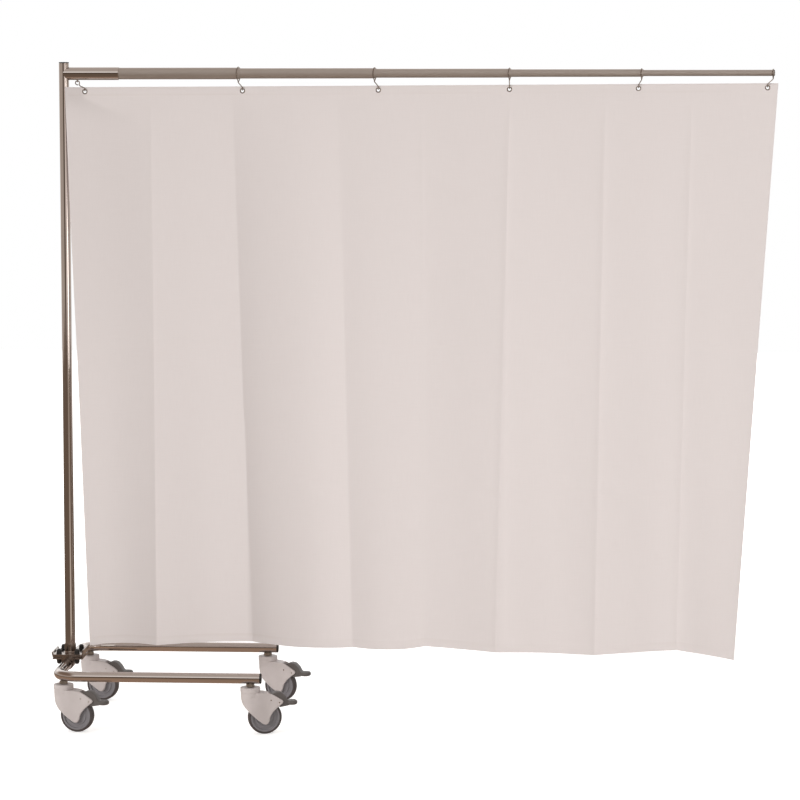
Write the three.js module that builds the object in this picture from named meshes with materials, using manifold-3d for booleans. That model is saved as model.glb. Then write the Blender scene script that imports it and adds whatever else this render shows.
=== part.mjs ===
// Ward privacy screen on wheels: a chrome post on a rolling U-shaped base carries a
// telescopic rail, and a curtain hangs from the rail on six wire hooks.
// Millimetres, +X along the rail, +Y towards the back, +Z up, floor at zero.
import * as THREE from 'three';
import { mergeVertices } from 'three/addons/utils/BufferGeometryUtils.js';
import Module from 'manifold-3d';

const wasm = await Module();
wasm.setup();

// Fits shared by every piece
const gap = 0.3;
const overrun = 2;
const tubeSides = 18;
const wireSides = 6;
const weldTolerance = 1e-4;

// Base: one tube bent to a U that opens towards +X
const tubeRadius = 15;
const tubeWall = 1.5;
const legSpacing = 500;
const legLength = 606;
const bendRadius = 60;
const bendSteps = 6;
const capFlange = 5;
const capSpigot = 18;
const capRounding = 1.5;

// Casters, measured from the stem's axis and the floor
const wheelRadius = 50;
const wheelSides = 20;
const wheelWidth = 26;
const casterTrail = 42.5;
const casterHeight = 140;
const stemInset = 20;
const stemFromLegEnd = 33;
const leftSwivel = -10;
const rightFrontSwivel = 16;
const rightRearSwivel = -14;

// Caster stem: rod, retaining flange under the head and hexagon collar under the tube
const stemRadius = 6;
const stemCollarHeight = 10;
const stemCollarRadius = 11;
const stemFlangeRadius = 14;
const stemFlangeThickness = 3.5;
const stemInTube = 26;

// Caster housing
const headRadius = 29;
const headRoof = 27;
const cheekThickness = 5;
const wheelWellClearance = 1.5;
const wheelWellRim = 3.5;
const hoodEnd = 10.5;
const axleRadius = 4;
const axleSkin = 2;
const pinRadius = 2;
const rivetOrbit = 54;
const rivetAngle = 73;
const rivetRise = 0.6;
const brakePinOrbit = 60;
const brakePinAngle = 47;

// Caster tyre and wheel disc
const tyreThickness = 7;
const tyreShoulder = 3;
const wheelHubRadius = 12;
const wheelRimDepth = 8;
const wheelRimInset = 1.5;
const wheelDiscInset = 4;

// Brake pedal, drawn in its locked position
const pedalClearance = 1;
const padGap = 0.9;
const padRelief = 8;
const padArc = [34, 46];
const freeArc = [62, 74];
const paddleWidth = 36;
const paddleStart = 68;

// Post
const postAboveRail = 34;
const postCapFlange = 3;

// Clamp that holds the post on the crossbar
const clampLength = 104;
const clampWidth = 90;
const clampPlate = 8;
const clampPlateLift = 5;
const clampPadDrop = 6;
const clampRim = 3.5;
const clampRimRise = 14;
const clampSocketWall = 2;
const clampSocketRise = 26;
const clampSeat = 2;
const saddleWall = 2.7;
const saddleEar = 5;
const saddleEarGap = 1.5;
const boltAcross = 54;
const boltAlong = 80;
const boltRadius = 4;
const boltCapRadius = 8.5;
const boltCapHeight = 15;

// Telescopic rail: outer diameters of the five stages, and how far each mouth reaches
const railHeight = 1927;
const sleeveRadius = 19;
const sleeveWall = 1.5;
const sleeveReach = 164;
const sleeveTip = 4;
const stageRadii = [17, 15, 13, 11, 9];
const stageWall = 1;
const firstStageStart = 26;
const firstStageReach = 524;
const stageExtensions = [403, 397, 387, 383];
const neckLength = 60;
const flareLength = 10;
const plugSpigot = 14;
const endPlugFlange = 2;

// Hooks: wire rings near the mouth of each stage, and their eyelets in the curtain
const wireRadius = 1.5;
const hookShank = 34;
const hookInset = 5;
const hookTurn = 11;
const hookSlack = 0.5;
const hookWaist = 4;
const hookBend = 5;
const hookTip = 6;
const ringArc = [-42, 222];
const jArc = [190, 350];
const smallEyeArc = [340, 35];
const smallEyeNeckShare = 1.7;
const hookSamples = 34;
const loopSamples = 12;
const smallEyeRadius = 6;
const loopPlace = 40;
const loopHalfWidth = 5;
const loopDrop = 5.5;

// Eyelets
const eyeletHole = 4.5;
const eyeletBarrel = 6;
const eyeletFlangeRadius = 8;
const eyeletFlange = 0.8;
const eyeletSides = 12;
const eyeletInset = 13;
const eyeletPlaces = [62, 531, 933, 1319, 1697, 2073];

// Curtain: a sheet with seven pressed creases, hung at its top edge
const clothThickness = 1.2;
const clothSeam = 0.3;
const clothLeft = 5;
const clothRight = 2104;
const creaseTops = [257, 501, 815, 1060, 1321, 1600, 1853];
const creaseFeet = [259, 552, 853, 1072, 1282, 1577, 1821];
const clothFootLeft = 60;
const clothFootRight = 1993;
const clothHem = 212;
const hemWave = 16;
const foldDepth = 32;
const foldStart = 30;
const edgeLift = 17.2;
const edgeLiftEnd = 44;
const clothRows = 11;
const rowSpread = 1.15;
const clothColumn = 66;
const seamMargin = 12;
const foldGrowth = 0.7;

// A bolt cap's outline, as shares of its radius and height
const boltCapShares = [[1, 0], [1, 0.55], [0.8, 0.85], [0.45, 1]];

// At the hem, each crease's place before (-) or behind the rail, and its height, as
// shares of the fold depth and the hem's wave, from the left edge to the right edge
const creaseDepthShares = [-0.1, 0.6, -0.7, -0.65, -0.2, 0.7, -0.65, 0.5, 0.3];
const pleatBowShares = [-0.75, 0.05, 0.9, 0.55, -0.3, -0.15, -0.35, -0.5];
const hemWaveShares = [0.7, 0.1, 0.6, 0.5, 0.9, -0.35, -0.35, 0.25, -1.35];

// Worked out from the sizes above
const tubeBore = tubeRadius - tubeWall;
const baseHeight = casterHeight + stemCollarHeight + tubeRadius;
const halfSpacing = legSpacing / 2;
const crossbarTop = baseHeight + tubeRadius;
const wheelWellHalf = wheelWidth / 2 + wheelWellClearance;
const housingHalf = wheelWellHalf + cheekThickness;
const wheelWellRadius = wheelRadius + wheelWellRim;
const plateBottom = crossbarTop + clampPlateLift;
const plateTop = plateBottom + clampPlate;
const postBottom = plateBottom + clampSeat + gap;
const postTop = railHeight + postAboveRail;
const stageReaches = [firstStageReach];
for (const extension of stageExtensions) {
  stageReaches.push(stageReaches.at(-1) + extension);
}
const degrees = Math.PI / 180;

// Finishes
const chrome = { color: 0xb9b4ae, roughness: 0.12, metalness: 1 };
const satinAluminium = { color: 0xb8aea6, roughness: 0.35, metalness: 1 };
const wireSteel = { color: 0x8d8781, roughness: 0.3, metalness: 1 };
const zincSteel = { color: 0xa3a09b, roughness: 0.35, metalness: 1 };
const blackPlastic = { color: 0x1f1e1d, roughness: 0.5, metalness: 0 };
const greyPlastic = { color: 0x8a8784, roughness: 0.55, metalness: 0 };
const paleHousing = { color: 0xc3bab5, roughness: 0.5, metalness: 0 };
const wheelGrey = { color: 0x84858a, roughness: 0.5, metalness: 0 };
const tyreGrey = { color: 0x5b5a5e, roughness: 0.7, metalness: 0 };
const pedalGrey = { color: 0x6a6a6d, roughness: 0.5, metalness: 0 };
const curtainCloth = { color: 0xd9cfca, roughness: 0.9, metalness: 0 };

const screen = new THREE.Group();
const upwards = new THREE.Vector3(0, 0, 1);

// Geometry helpers

function tripleVolume(geometry) {
  const position = geometry.getAttribute('position');
  const corner = [new THREE.Vector3(), new THREE.Vector3(), new THREE.Vector3()];
  let volume = 0;
  for (let i = 0; i < geometry.index.count; i += 3) {
    corner.forEach((c, k) => c.fromBufferAttribute(position, geometry.index.getX(i + k)));
    volume += corner[0].dot(corner[1].clone().cross(corner[2]));
  }
  return volume;
}

// Leaves only shared positions, with every face turned outwards
function welded(geometry) {
  const bare = geometry.clone();
  bare.deleteAttribute('normal');
  bare.deleteAttribute('uv');
  const joined = mergeVertices(bare, weldTolerance);
  const kept = [];
  const index = joined.index.array;
  for (let i = 0; i < index.length; i += 3) {
    const [a, b, c] = [index[i], index[i + 1], index[i + 2]];
    if (a !== b && b !== c && c !== a) {
      kept.push(a, b, c);
    }
  }
  joined.setIndex(kept);
  if (tripleVolume(joined) < 0) {
    for (let i = 0; i < kept.length; i += 3) {
      [kept[i + 1], kept[i + 2]] = [kept[i + 2], kept[i + 1]];
    }
    joined.setIndex(kept);
  }
  return joined;
}

function toSolid(geometry) {
  const shell = welded(geometry);
  const mesh = new wasm.Mesh({
    numProp: 3,
    vertProperties: new Float32Array(shell.getAttribute('position').array),
    triVerts: new Uint32Array(shell.index.array),
  });
  return new wasm.Manifold(mesh);
}

function fromSolid(solid) {
  const mesh = solid.getMesh();
  const geometry = new THREE.BufferGeometry();
  geometry.setAttribute('position', new THREE.BufferAttribute(mesh.vertProperties, 3));
  geometry.setIndex(new THREE.BufferAttribute(mesh.triVerts, 1));
  return geometry;
}

function join(first, ...others) {
  return fromSolid(others.reduce((sum, next) => sum.add(toSolid(next)), toSolid(first)));
}

function cut(first, ...tools) {
  return fromSolid(tools.reduce((rest, tool) => rest.subtract(toSolid(tool)), toSolid(first)));
}

function common(first, second) {
  return fromSolid(toSolid(first).intersect(toSolid(second)));
}

// Turns a shape made along +Y so that it runs along the named axis
function along(axis, geometry) {
  if (axis === 'x') {
    geometry.rotateZ(-Math.PI / 2);
  }
  if (axis === 'z') {
    geometry.rotateX(Math.PI / 2);
  }
  return geometry;
}

function rod(axis, radius, start, end, sides = tubeSides) {
  const bar = new THREE.CylinderGeometry(radius, radius, end - start, sides);
  bar.translate(0, (start + end) / 2, 0);
  return along(axis, bar);
}

// A turned piece from (radius, place) pairs, closed on itself or on the axis
function turned(axis, profile, sides = tubeSides) {
  const points = profile.map(([radius, place]) => new THREE.Vector2(radius, place));
  if (profile[0][0] > 0 || profile.at(-1)[0] > 0) {
    points.push(points[0].clone());
  }
  return along(axis, new THREE.LatheGeometry(points, sides));
}

function pipe(axis, outer, inner, start, end, sides = tubeSides) {
  return turned(axis, [[outer, start], [outer, end], [inner, end], [inner, start]], sides);
}

function block(width, depth, height, x, y, z) {
  return new THREE.BoxGeometry(width, depth, height).translate(x, y, z);
}

// A slab with the outline drawn in X and Z, centred on Y
function slabXZ(outline, thickness) {
  const shape = new THREE.Shape(outline.map(([x, z]) => new THREE.Vector2(x, z)));
  const slab = new THREE.ExtrudeGeometry(shape, { depth: thickness, bevelEnabled: false });
  slab.translate(0, 0, -thickness / 2);
  return slab.rotateX(Math.PI / 2);
}

function arcPoints(x, z, radius, from, to, steps) {
  return Array.from({ length: steps + 1 }, (_, i) => {
    const angle = (from + ((to - from) * i) / steps) * degrees;
    return [x + radius * Math.cos(angle), z + radius * Math.sin(angle)];
  });
}

function roundSection(radius, sides) {
  return arcPoints(0, 0, radius, 0, 360 - 360 / sides, sides - 1)
    .map(([x, y]) => new THREE.Vector2(x, y));
}

// A path whose stations are the points given, so bends get more sections than straights
class StationPath extends THREE.Curve {
  constructor(points, directions) {
    super();
    this.points = points;
    this.directions = directions;
  }

  getUtoTmapping(share) {
    return share;
  }

  getPoint(share, target = new THREE.Vector3()) {
    return target.copy(this.points[Math.round(share * (this.points.length - 1))]);
  }

  getTangent(share, target = new THREE.Vector3()) {
    return target.copy(this.directions[Math.round(share * (this.points.length - 1))]);
  }
}

function sweep(shape, path) {
  const steps = path.points.length - 1;
  return new THREE.ExtrudeGeometry(shape, { steps, bevelEnabled: false, extrudePath: path });
}

function addPiece(name, geometry, finish, place = new THREE.Vector3(), turn = 0) {
  const material = new THREE.MeshStandardMaterial(finish);
  const mesh = new THREE.Mesh(welded(geometry), material);
  mesh.name = name;
  mesh.position.copy(place);
  mesh.rotation.z = turn;
  screen.add(mesh);
}

// Base tube with the holes for the caster stems, and its end caps

// The left stems stand in the bends, so their spacing follows the bend's centreline
function casterPlaces() {
  const inBend = halfSpacing - bendRadius
    + Math.sqrt(bendRadius ** 2 - (bendRadius - stemInset) ** 2);
  const right = legLength - stemFromLegEnd;
  return [
    { name: 'left_front', x: stemInset, y: -inBend, swivel: leftSwivel },
    { name: 'left_rear', x: stemInset, y: inBend, swivel: leftSwivel },
    { name: 'right_front', x: right, y: -halfSpacing, swivel: rightFrontSwivel },
    { name: 'right_rear', x: right, y: halfSpacing, swivel: rightRearSwivel },
  ];
}

function makeBase() {
  const points = [];
  const directions = [];
  const station = (x, y, angle) => {
    points.push(new THREE.Vector3(x, y, baseHeight));
    directions.push(new THREE.Vector3(Math.cos(angle), Math.sin(angle), 0));
  };
  const tubeEnd = legLength - capFlange - gap;
  const corner = halfSpacing - bendRadius;
  station(tubeEnd, -halfSpacing, Math.PI);
  for (let i = 0; i <= bendSteps; i += 1) {
    const turn = (Math.PI / 2) * (i / bendSteps);
    const x = bendRadius - bendRadius * Math.sin(turn);
    station(x, -corner - bendRadius * Math.cos(turn), Math.PI - turn);
  }
  for (let i = 0; i <= bendSteps; i += 1) {
    const turn = (Math.PI / 2) * (i / bendSteps);
    const x = bendRadius - bendRadius * Math.cos(turn);
    station(x, corner + bendRadius * Math.sin(turn), Math.PI / 2 - turn);
  }
  station(tubeEnd, halfSpacing, 0);
  const section = new THREE.Shape(roundSection(tubeRadius, tubeSides));
  section.holes.push(new THREE.Path(roundSection(tubeBore, tubeSides)));
  const tube = sweep(section, new StationPath(points, directions));
  const holes = casterPlaces().map(({ x, y }) =>
    rod('z', stemRadius + gap, baseHeight - tubeRadius - overrun, baseHeight, wireSides * 2)
      .translate(x, y, 0));
  addPiece('base_tube', cut(tube, ...holes), chrome);

  const plug = turned('x', [
    [0, legLength - capFlange - capSpigot],
    [tubeBore - gap, legLength - capFlange - capSpigot],
    [tubeBore - gap, legLength - capFlange],
    [tubeRadius, legLength - capFlange],
    [tubeRadius, legLength - capRounding],
    [tubeRadius - capRounding, legLength],
    [0, legLength],
  ]).translate(0, 0, baseHeight);
  addPiece('base_end_cap_front', plug.clone().translate(0, -halfSpacing, 0), blackPlastic);
  addPiece('base_end_cap_rear', plug.clone().translate(0, halfSpacing, 0), blackPlastic);
}

// Casters

function orbitPoint(orbit, angle) {
  return [orbit * Math.cos(angle * degrees), orbit * Math.sin(angle * degrees)];
}

const rivetPlace = orbitPoint(rivetOrbit, rivetAngle);
const brakePin = orbitPoint(brakePinOrbit, brakePinAngle);

// The housing's side view about the wheel's centre, as shares of the wheel's radius
const hoodOutlineShares = [
  [-0.28, 1.62], [-0.05, 1.6], [0.26, 1.5], [0.44, 1.38], [0.71, 1.2], [0.99, 0.99],
  [1.04, 0.9], [1, 0.8], [0.75, 0.62], [0.45, 0.33], [0.27, 0.05], [0.23, -0.2],
  [0.14, -0.36], [0, -0.42], [-0.16, -0.36], [-0.6, 0], [-1.03, 0.41], [-1.25, 0.72],
  [-1.43, 1.16],
];

function housingGeometry() {
  const stemX = -casterTrail;
  const top = casterHeight - wheelRadius;
  const headFoot = top - headRoof;
  const left = stemX - headRadius;
  const outline = hoodOutlineShares.map(([x, z]) => [x * wheelRadius, z * wheelRadius]);
  const side = slabXZ([
    [left, top], [stemX + headRadius, top], ...outline.slice(0, -1), [left, outline.at(-1)[1]],
  ], headRadius * 2 + overrun);

  const tail = headRadius * 2;
  const nose = Math.max(...outline.map(([x]) => x)) + overrun;
  const plan = new THREE.Shape();
  plan.moveTo(stemX, -headRadius);
  plan.lineTo(stemX + headRadius / 2, -headRadius + overrun);
  plan.lineTo(-casterTrail / 4, -housingHalf);
  plan.lineTo(nose, -housingHalf);
  plan.lineTo(nose, housingHalf);
  plan.lineTo(-casterTrail / 4, housingHalf);
  plan.lineTo(stemX + headRadius / 2, headRadius - overrun);
  plan.lineTo(stemX, headRadius);
  for (const [x, y] of arcPoints(stemX, 0, headRadius, 90, 270, 10).slice(1, -1)) {
    plan.lineTo(x, y);
  }
  const column = new THREE.ExtrudeGeometry(plan, {
    depth: top + tail, bevelEnabled: false,
  }).translate(0, 0, -tail / 2);
  const headColumn = rod('z', headRadius, headFoot, top, tubeSides).translate(stemX, 0, 0);
  const rivet = rod('y', pinRadius, -housingHalf - rivetRise, housingHalf + rivetRise, 8)
    .translate(rivetPlace[0], 0, rivetPlace[1]);
  const body = join(common(side, column), headColumn, rivet);

  const well = rod('y', wheelWellRadius, -wheelWellHalf, wheelWellHalf, wheelSides);
  const pedalBay = block(
    wheelRadius * 2, wheelWellHalf * 2, wheelRadius * 2,
    hoodEnd + wheelRadius, 0, brakePin[1],
  );
  const stemBore = rod('z', stemRadius + gap, headFoot - overrun, top + overrun, wireSides * 2)
    .translate(stemX, 0, 0);
  const flangeBore = rod('z', stemFlangeRadius + gap, 0, headFoot, tubeSides)
    .translate(stemX, 0, 0);
  const axleBore = rod('y', axleRadius + gap, axleSkin - housingHalf, housingHalf - axleSkin, 12);
  const pinBore = rod('y', pinRadius + gap, -housingHalf - overrun, housingHalf + overrun, 8)
    .translate(brakePin[0], 0, brakePin[1]);
  return cut(body, well, pedalBay, flangeBore, stemBore, axleBore, pinBore);
}

function wheelGeometry() {
  const half = wheelWidth / 2;
  const rim = wheelRadius - tyreThickness - gap;
  const rimInner = rim - wheelRimDepth;
  return turned('y', [
    [axleRadius + gap, -half], [wheelHubRadius, -half],
    [wheelHubRadius, -half + wheelDiscInset], [rimInner, -half + wheelDiscInset],
    [rimInner, -half + wheelRimInset], [rim, -half + wheelRimInset],
    [rim, half - wheelRimInset], [rimInner, half - wheelRimInset],
    [rimInner, half - wheelDiscInset], [wheelHubRadius, half - wheelDiscInset],
    [wheelHubRadius, half], [axleRadius + gap, half],
  ], wheelSides).rotateY(Math.PI / wheelSides);
}

function tyreGeometry() {
  const half = wheelWidth / 2 - wheelRimInset / 2;
  const inner = wheelRadius - tyreThickness;
  return turned('y', [
    [inner, -half], [wheelRadius - tyreShoulder, -half], [wheelRadius, -half + tyreShoulder],
    [wheelRadius, half - tyreShoulder], [wheelRadius - tyreShoulder, half], [inner, half],
  ], wheelSides).rotateY(Math.PI / wheelSides);
}

// The pedal's side view about the wheel's centre, as shares of the wheel's radius
const pedalTopShares = [
  [0.3, 1.18], [0.36, 1.3], [0.5, 1.42], [0.71, 1.49], [0.97, 1.44], [1.2, 1.22],
  [1.33, 0.98], [1.54, 0.93], [1.84, 0.93], [1.94, 0.81], [1.84, 0.68], [1.28, 0.64],
  [1.05, 0.6],
];

function pedalGeometry() {
  const padRadius = wheelRadius + padGap;
  const freeRadius = padRadius + padRelief;
  const top = pedalTopShares.map(([x, z]) => [x * wheelRadius, z * wheelRadius]);
  const lever = slabXZ([
    ...top,
    ...arcPoints(0, 0, padRadius, ...padArc, 2),
    ...arcPoints(0, 0, freeRadius, ...freeArc, 2),
  ], (wheelWellHalf - pedalClearance) * 2);
  const paddle = slabXZ([
    [paddleStart, top.at(-6)[1]], ...top.slice(-5, -2), [paddleStart, top.at(-2)[1]],
  ], paddleWidth);
  const trunnions = rod('y', pinRadius, -housingHalf, housingHalf, 8)
    .translate(brakePin[0], 0, brakePin[1]);
  return join(lever, paddle, trunnions);
}

function stemGeometry() {
  const flangeTop = casterHeight - headRoof - gap;
  const collarBottom = casterHeight + gap;
  const tubeBottom = baseHeight - tubeRadius;
  return join(
    rod('z', stemFlangeRadius, flangeTop - stemFlangeThickness, flangeTop, 16),
    rod('z', stemRadius, flangeTop - stemFlangeThickness / 2, tubeBottom + stemInTube, 12),
    rod('z', stemCollarRadius, collarBottom, tubeBottom - gap, 6),
  );
}

function makeCasters() {
  const housing = housingGeometry();
  const wheel = wheelGeometry();
  const tyre = tyreGeometry();
  const axleHalf = housingHalf - axleSkin - gap;
  const axle = rod('y', axleRadius, -axleHalf, axleHalf, 12);
  const stem = stemGeometry();
  const pedal = pedalGeometry();
  for (const { name, x, y, swivel } of casterPlaces()) {
    const turn = swivel * degrees;
    const centre = new THREE.Vector3(casterTrail, 0, wheelRadius)
      .applyAxisAngle(upwards, turn)
      .add(new THREE.Vector3(x, y, 0));
    addPiece(`caster_${name}_housing`, housing, paleHousing, centre, turn);
    addPiece(`caster_${name}_axle`, axle, zincSteel, centre, turn);
    addPiece(`caster_${name}_wheel`, wheel, wheelGrey, centre, turn);
    addPiece(`caster_${name}_tyre`, tyre, tyreGrey, centre, turn);
    addPiece(`caster_${name}_pedal`, pedal, pedalGrey, centre, turn);
    addPiece(`caster_${name}_stem`, stem, zincSteel, new THREE.Vector3(x, y, 0));
  }
}

// Post, its cap, and the clamp on the crossbar

function makePost() {
  const tubeTop = postTop - postCapFlange - gap;
  addPiece('post_tube', pipe('z', tubeRadius, tubeBore, postBottom, tubeTop), chrome);
  addPiece('post_cap', turned('z', [
    [0, tubeTop - capSpigot], [tubeBore - gap, tubeTop - capSpigot],
    [tubeBore - gap, tubeTop + gap], [tubeRadius, tubeTop + gap],
    [tubeRadius, postTop - capRounding], [tubeRadius - capRounding, postTop], [0, postTop],
  ]), blackPlastic);
}

function boltPlaces() {
  return [-1, 1].flatMap((sx) =>
    [-1, 1].map((sy) => [(sx * boltAcross) / 2, (sy * boltAlong) / 2]));
}

function makeClamp() {
  const half = clampWidth / 2;
  const inner = tubeRadius + gap;
  const outer = inner + saddleWall;
  const earTop = plateBottom - saddleEarGap;
  const earBottom = earTop - saddleEar;
  const padBottom = crossbarTop - clampPadDrop;
  const crossbarCut = rod('y', inner, -clampLength, clampLength).translate(0, 0, baseHeight);
  const boltCuts = boltPlaces().map(([x, y]) =>
    rod('z', boltRadius + gap, baseHeight, plateTop + overrun, 12).translate(x, y, 0));

  const plate = block(clampWidth, clampLength, clampPlate, 0, 0, plateBottom + clampPlate / 2);
  const rims = [-1, 1].map((side) => slabXZ([
    [side * half, plateBottom], [side * (half + clampRim), plateTop + clampRimRise],
    [side * half, plateTop + clampRimRise], [side * (half - clampRim), plateBottom],
  ], clampLength));
  const pad = block(
    tubeRadius * 2, clampLength, plateTop - padBottom, 0, 0, (plateTop + padBottom) / 2,
  );
  const socket = rod('z', inner + clampSocketWall, plateBottom, plateTop + clampSocketRise);
  const postBore = rod('z', inner, postBottom - gap, postTop);
  addPiece(
    'clamp_upper',
    cut(join(plate, ...rims, pad, socket), crossbarCut, postBore, ...boltCuts),
    chrome,
  );

  const saddle = slabXZ([
    [half, earTop], [inner, earTop], ...arcPoints(0, baseHeight, inner, 0, -180, 12),
    [-inner, earTop], [-half, earTop], [-half, earBottom], [-outer, earBottom],
    ...arcPoints(0, baseHeight, outer, 180, 360, 12),
    [outer, earBottom], [half, earBottom],
  ], clampLength);
  addPiece('clamp_lower', cut(saddle, ...boltCuts), chrome);

  const boltShape = [
    [0, earBottom - gap - boltCapHeight], ...boltCapShares.toReversed()
      .map(([r, rise]) => [r * boltCapRadius, earBottom - gap - rise * boltCapHeight]),
    [boltRadius, earBottom - gap], [boltRadius, plateTop + gap],
    ...boltCapShares.map(([r, rise]) => [r * boltCapRadius, plateTop + gap + rise * boltCapHeight]),
    [0, plateTop + gap + boltCapHeight],
  ];
  boltPlaces().forEach(([x, y], i) => {
    addPiece(`clamp_bolt_${i + 1}`, turned('z', boltShape, 12).translate(x, y, 0), blackPlastic);
  });
}

// Sleeve on the post, and the stages that slide out of it

function makeSleeve() {
  const tube = pipe('x', sleeveRadius, sleeveRadius - sleeveWall, -sleeveRadius, sleeveReach, 24)
    .translate(0, 0, railHeight);
  const reach = sleeveRadius * 2;
  const postCut = rod('z', tubeRadius + gap, railHeight - reach, railHeight + reach);
  const slope = (tubeRadius + sleeveTip) / sleeveRadius;
  const notch = slabXZ([
    [-reach * 2, -reach], [reach * slope - sleeveTip, -reach], [-sleeveTip, 0],
    [reach * slope - sleeveTip, reach], [-reach * 2, reach],
  ], reach * 2).translate(0, 0, railHeight);
  addPiece('arm_sleeve', join(cut(tube, postCut, notch), hookLoop()), chrome);
}

// The wire staple welded under the sleeve, which carries the first hook
function hookLoop() {
  const bottom = railHeight - sleeveRadius - loopDrop;
  const legTop = railHeight - sleeveRadius + sleeveWall / 2;
  const corner = loopHalfWidth / 2;
  return wire([
    new THREE.Vector3(loopPlace, -loopHalfWidth, legTop),
    new THREE.Vector3(loopPlace, -loopHalfWidth, bottom + corner),
    new THREE.Vector3(loopPlace, -corner, bottom),
    new THREE.Vector3(loopPlace, corner, bottom),
    new THREE.Vector3(loopPlace, loopHalfWidth, bottom + corner),
    new THREE.Vector3(loopPlace, loopHalfWidth, legTop),
  ], loopSamples);
}

function stageProfile(k) {
  const radius = stageRadii[k];
  const bore = radius - stageWall;
  const mouth = stageReaches[k];
  const last = k === stageRadii.length - 1;
  const end = last ? mouth - endPlugFlange - gap : mouth;
  const start = k === 0 ? firstStageStart : stageReaches[k - 1] - neckLength - gap - flareLength;
  const profile = [[bore, start]];
  if (k > 0) {
    const flare = stageRadii[k - 1] - stageWall - gap;
    profile.push([flare, start], [flare, start + flareLength], [radius, start + flareLength]);
  } else {
    profile.push([radius, start]);
  }
  profile.push([radius, end]);
  if (!last) {
    const neck = stageRadii[k + 1] + gap;
    profile.push([neck, end], [neck, end - neckLength], [bore, end - neckLength]);
  } else {
    profile.push([bore, end]);
  }
  return profile;
}

// Each stage's tail is flared to the bore of the one before, and its mouth is necked to the next
function makeRail() {
  stageRadii.forEach((_, k) => {
    const stage = turned('x', stageProfile(k)).translate(0, 0, railHeight);
    addPiece(`rail_tube_${k + 1}`, stage, satinAluminium);
  });
  const radius = stageRadii.at(-1);
  const end = stageReaches.at(-1);
  const spigot = radius - stageWall - gap;
  addPiece('rail_end_plug', turned('x', [
    [0, end - endPlugFlange - plugSpigot], [spigot, end - endPlugFlange - plugSpigot],
    [spigot, end - endPlugFlange], [radius, end - endPlugFlange],
    [radius, end - endPlugFlange / 2], [radius - endPlugFlange / 2, end], [0, end],
  ]).translate(0, 0, railHeight), greyPlastic);
}

// Wire hooks: an upper eye, a waist, a shank, and a J that passes through an eyelet

function wire(points, samples = hookSamples) {
  const curve = new THREE.CatmullRomCurve3(points, false, 'centripetal');
  const shares = Array.from({ length: samples }, (_, i) => i / (samples - 1));
  const path = new StationPath(
    shares.map((share) => curve.getPointAt(share)),
    shares.map((share) => curve.getTangentAt(share)),
  );
  return sweep(new THREE.Shape(roundSection(wireRadius, wireSides)), path);
}

function eyeletHeight(k) {
  const carrier = k === 0 ? sleeveRadius : stageRadii[k - 1];
  return railHeight - carrier - hookShank;
}

// The J hangs in the eyelet's hole, its wire just under the top of the hole
function jPoints(x, z) {
  const bottom = z + eyeletHole - wireRadius - gap * 4;
  const bend = arcPoints(0, bottom + hookBend, hookBend, ...jArc, 4);
  return [
    new THREE.Vector3(x, -hookBend, bottom + hookBend + hookTip / 2),
    ...bend.map(([y, height]) => new THREE.Vector3(x, y, height)),
    new THREE.Vector3(x, hookBend, bottom + hookBend + hookTip / 4),
  ];
}

function makeFirstHook() {
  const loopBottom = railHeight - sleeveRadius - loopDrop;
  const eyeCentre = loopBottom + wireRadius * 2 + gap - smallEyeRadius;
  const eyeletX = eyeletPlaces[0];
  const eyeletZ = eyeletHeight(0);
  const lean = Math.atan2(eyeletZ - eyeCentre, eyeletX - loopPlace) / degrees;
  const [eyeStart, eyeEnd] = smallEyeArc.map((angle) => lean + angle);
  const eye = arcPoints(loopPlace, eyeCentre, smallEyeRadius, eyeStart, eyeEnd, 9)
    .map(([x, z]) => new THREE.Vector3(x, 0, z));
  const neckRadius = smallEyeRadius * smallEyeNeckShare;
  const shankTop = arcPoints(loopPlace, eyeCentre, neckRadius, lean, lean, 1)[0];
  const hook = wire([
    ...eye, new THREE.Vector3(shankTop[0], -wireRadius, shankTop[1]), ...jPoints(eyeletX, eyeletZ),
  ]);
  addPiece('hook_1', hook, wireSteel);
}

function makeHook(k) {
  const radius = stageRadii[k - 1];
  const turn = hookTurn * degrees;
  const centreX = stageReaches[k - 1] - hookInset;
  const ring = radius / Math.cos(turn) + gap + wireRadius + hookSlack;
  const centreZ = railHeight + radius + gap + wireRadius - ring;
  const inPlane = (h, z) => new THREE.Vector3(
    centreX + h * Math.sin(turn), h * Math.cos(turn), z,
  );
  const side = wireRadius + gap;
  const waist = centreZ - ring - hookWaist;
  const arc = arcPoints(0, centreZ, ring, ...ringArc, 12).map(([h, z]) => inPlane(h, z));
  const hook = wire([
    inPlane(side, waist), ...arc, inPlane(-side, waist), inPlane(-side - gap, waist - wireRadius),
    ...jPoints(eyeletPlaces[k], eyeletHeight(k)),
  ]);
  addPiece(`hook_${k + 1}`, hook, wireSteel);
}

// Eyelets: a barrel through the cloth with a flange on each face

function eyeletGeometry(k) {
  const face = clothThickness / 2 + gap;
  return turned('y', [
    [eyeletHole, -face - eyeletFlange], [eyeletFlangeRadius, -face - eyeletFlange],
    [eyeletFlangeRadius, -face], [eyeletBarrel, -face], [eyeletBarrel, face],
    [eyeletFlangeRadius, face], [eyeletFlangeRadius, face + eyeletFlange],
    [eyeletHole, face + eyeletFlange],
  ], eyeletSides).translate(eyeletPlaces[k], 0, eyeletHeight(k));
}

function makeEyelets() {
  eyeletPlaces.forEach((_, k) => addPiece(`eyelet_${k + 1}`, eyeletGeometry(k), zincSteel));
}

// Curtain: five panels of one sheet, which meet in upright seams under the eyelets

const creaseLine = [clothLeft, ...creaseTops, clothRight];
const footLine = [clothFootLeft, ...creaseFeet, clothFootRight];
const seams = [clothLeft, ...eyeletPlaces.slice(1, -1), clothRight];
const panelCount = seams.length - 1;

function mix(list, index, share) {
  return list[index] + (list[index + 1] - list[index]) * share;
}

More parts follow.
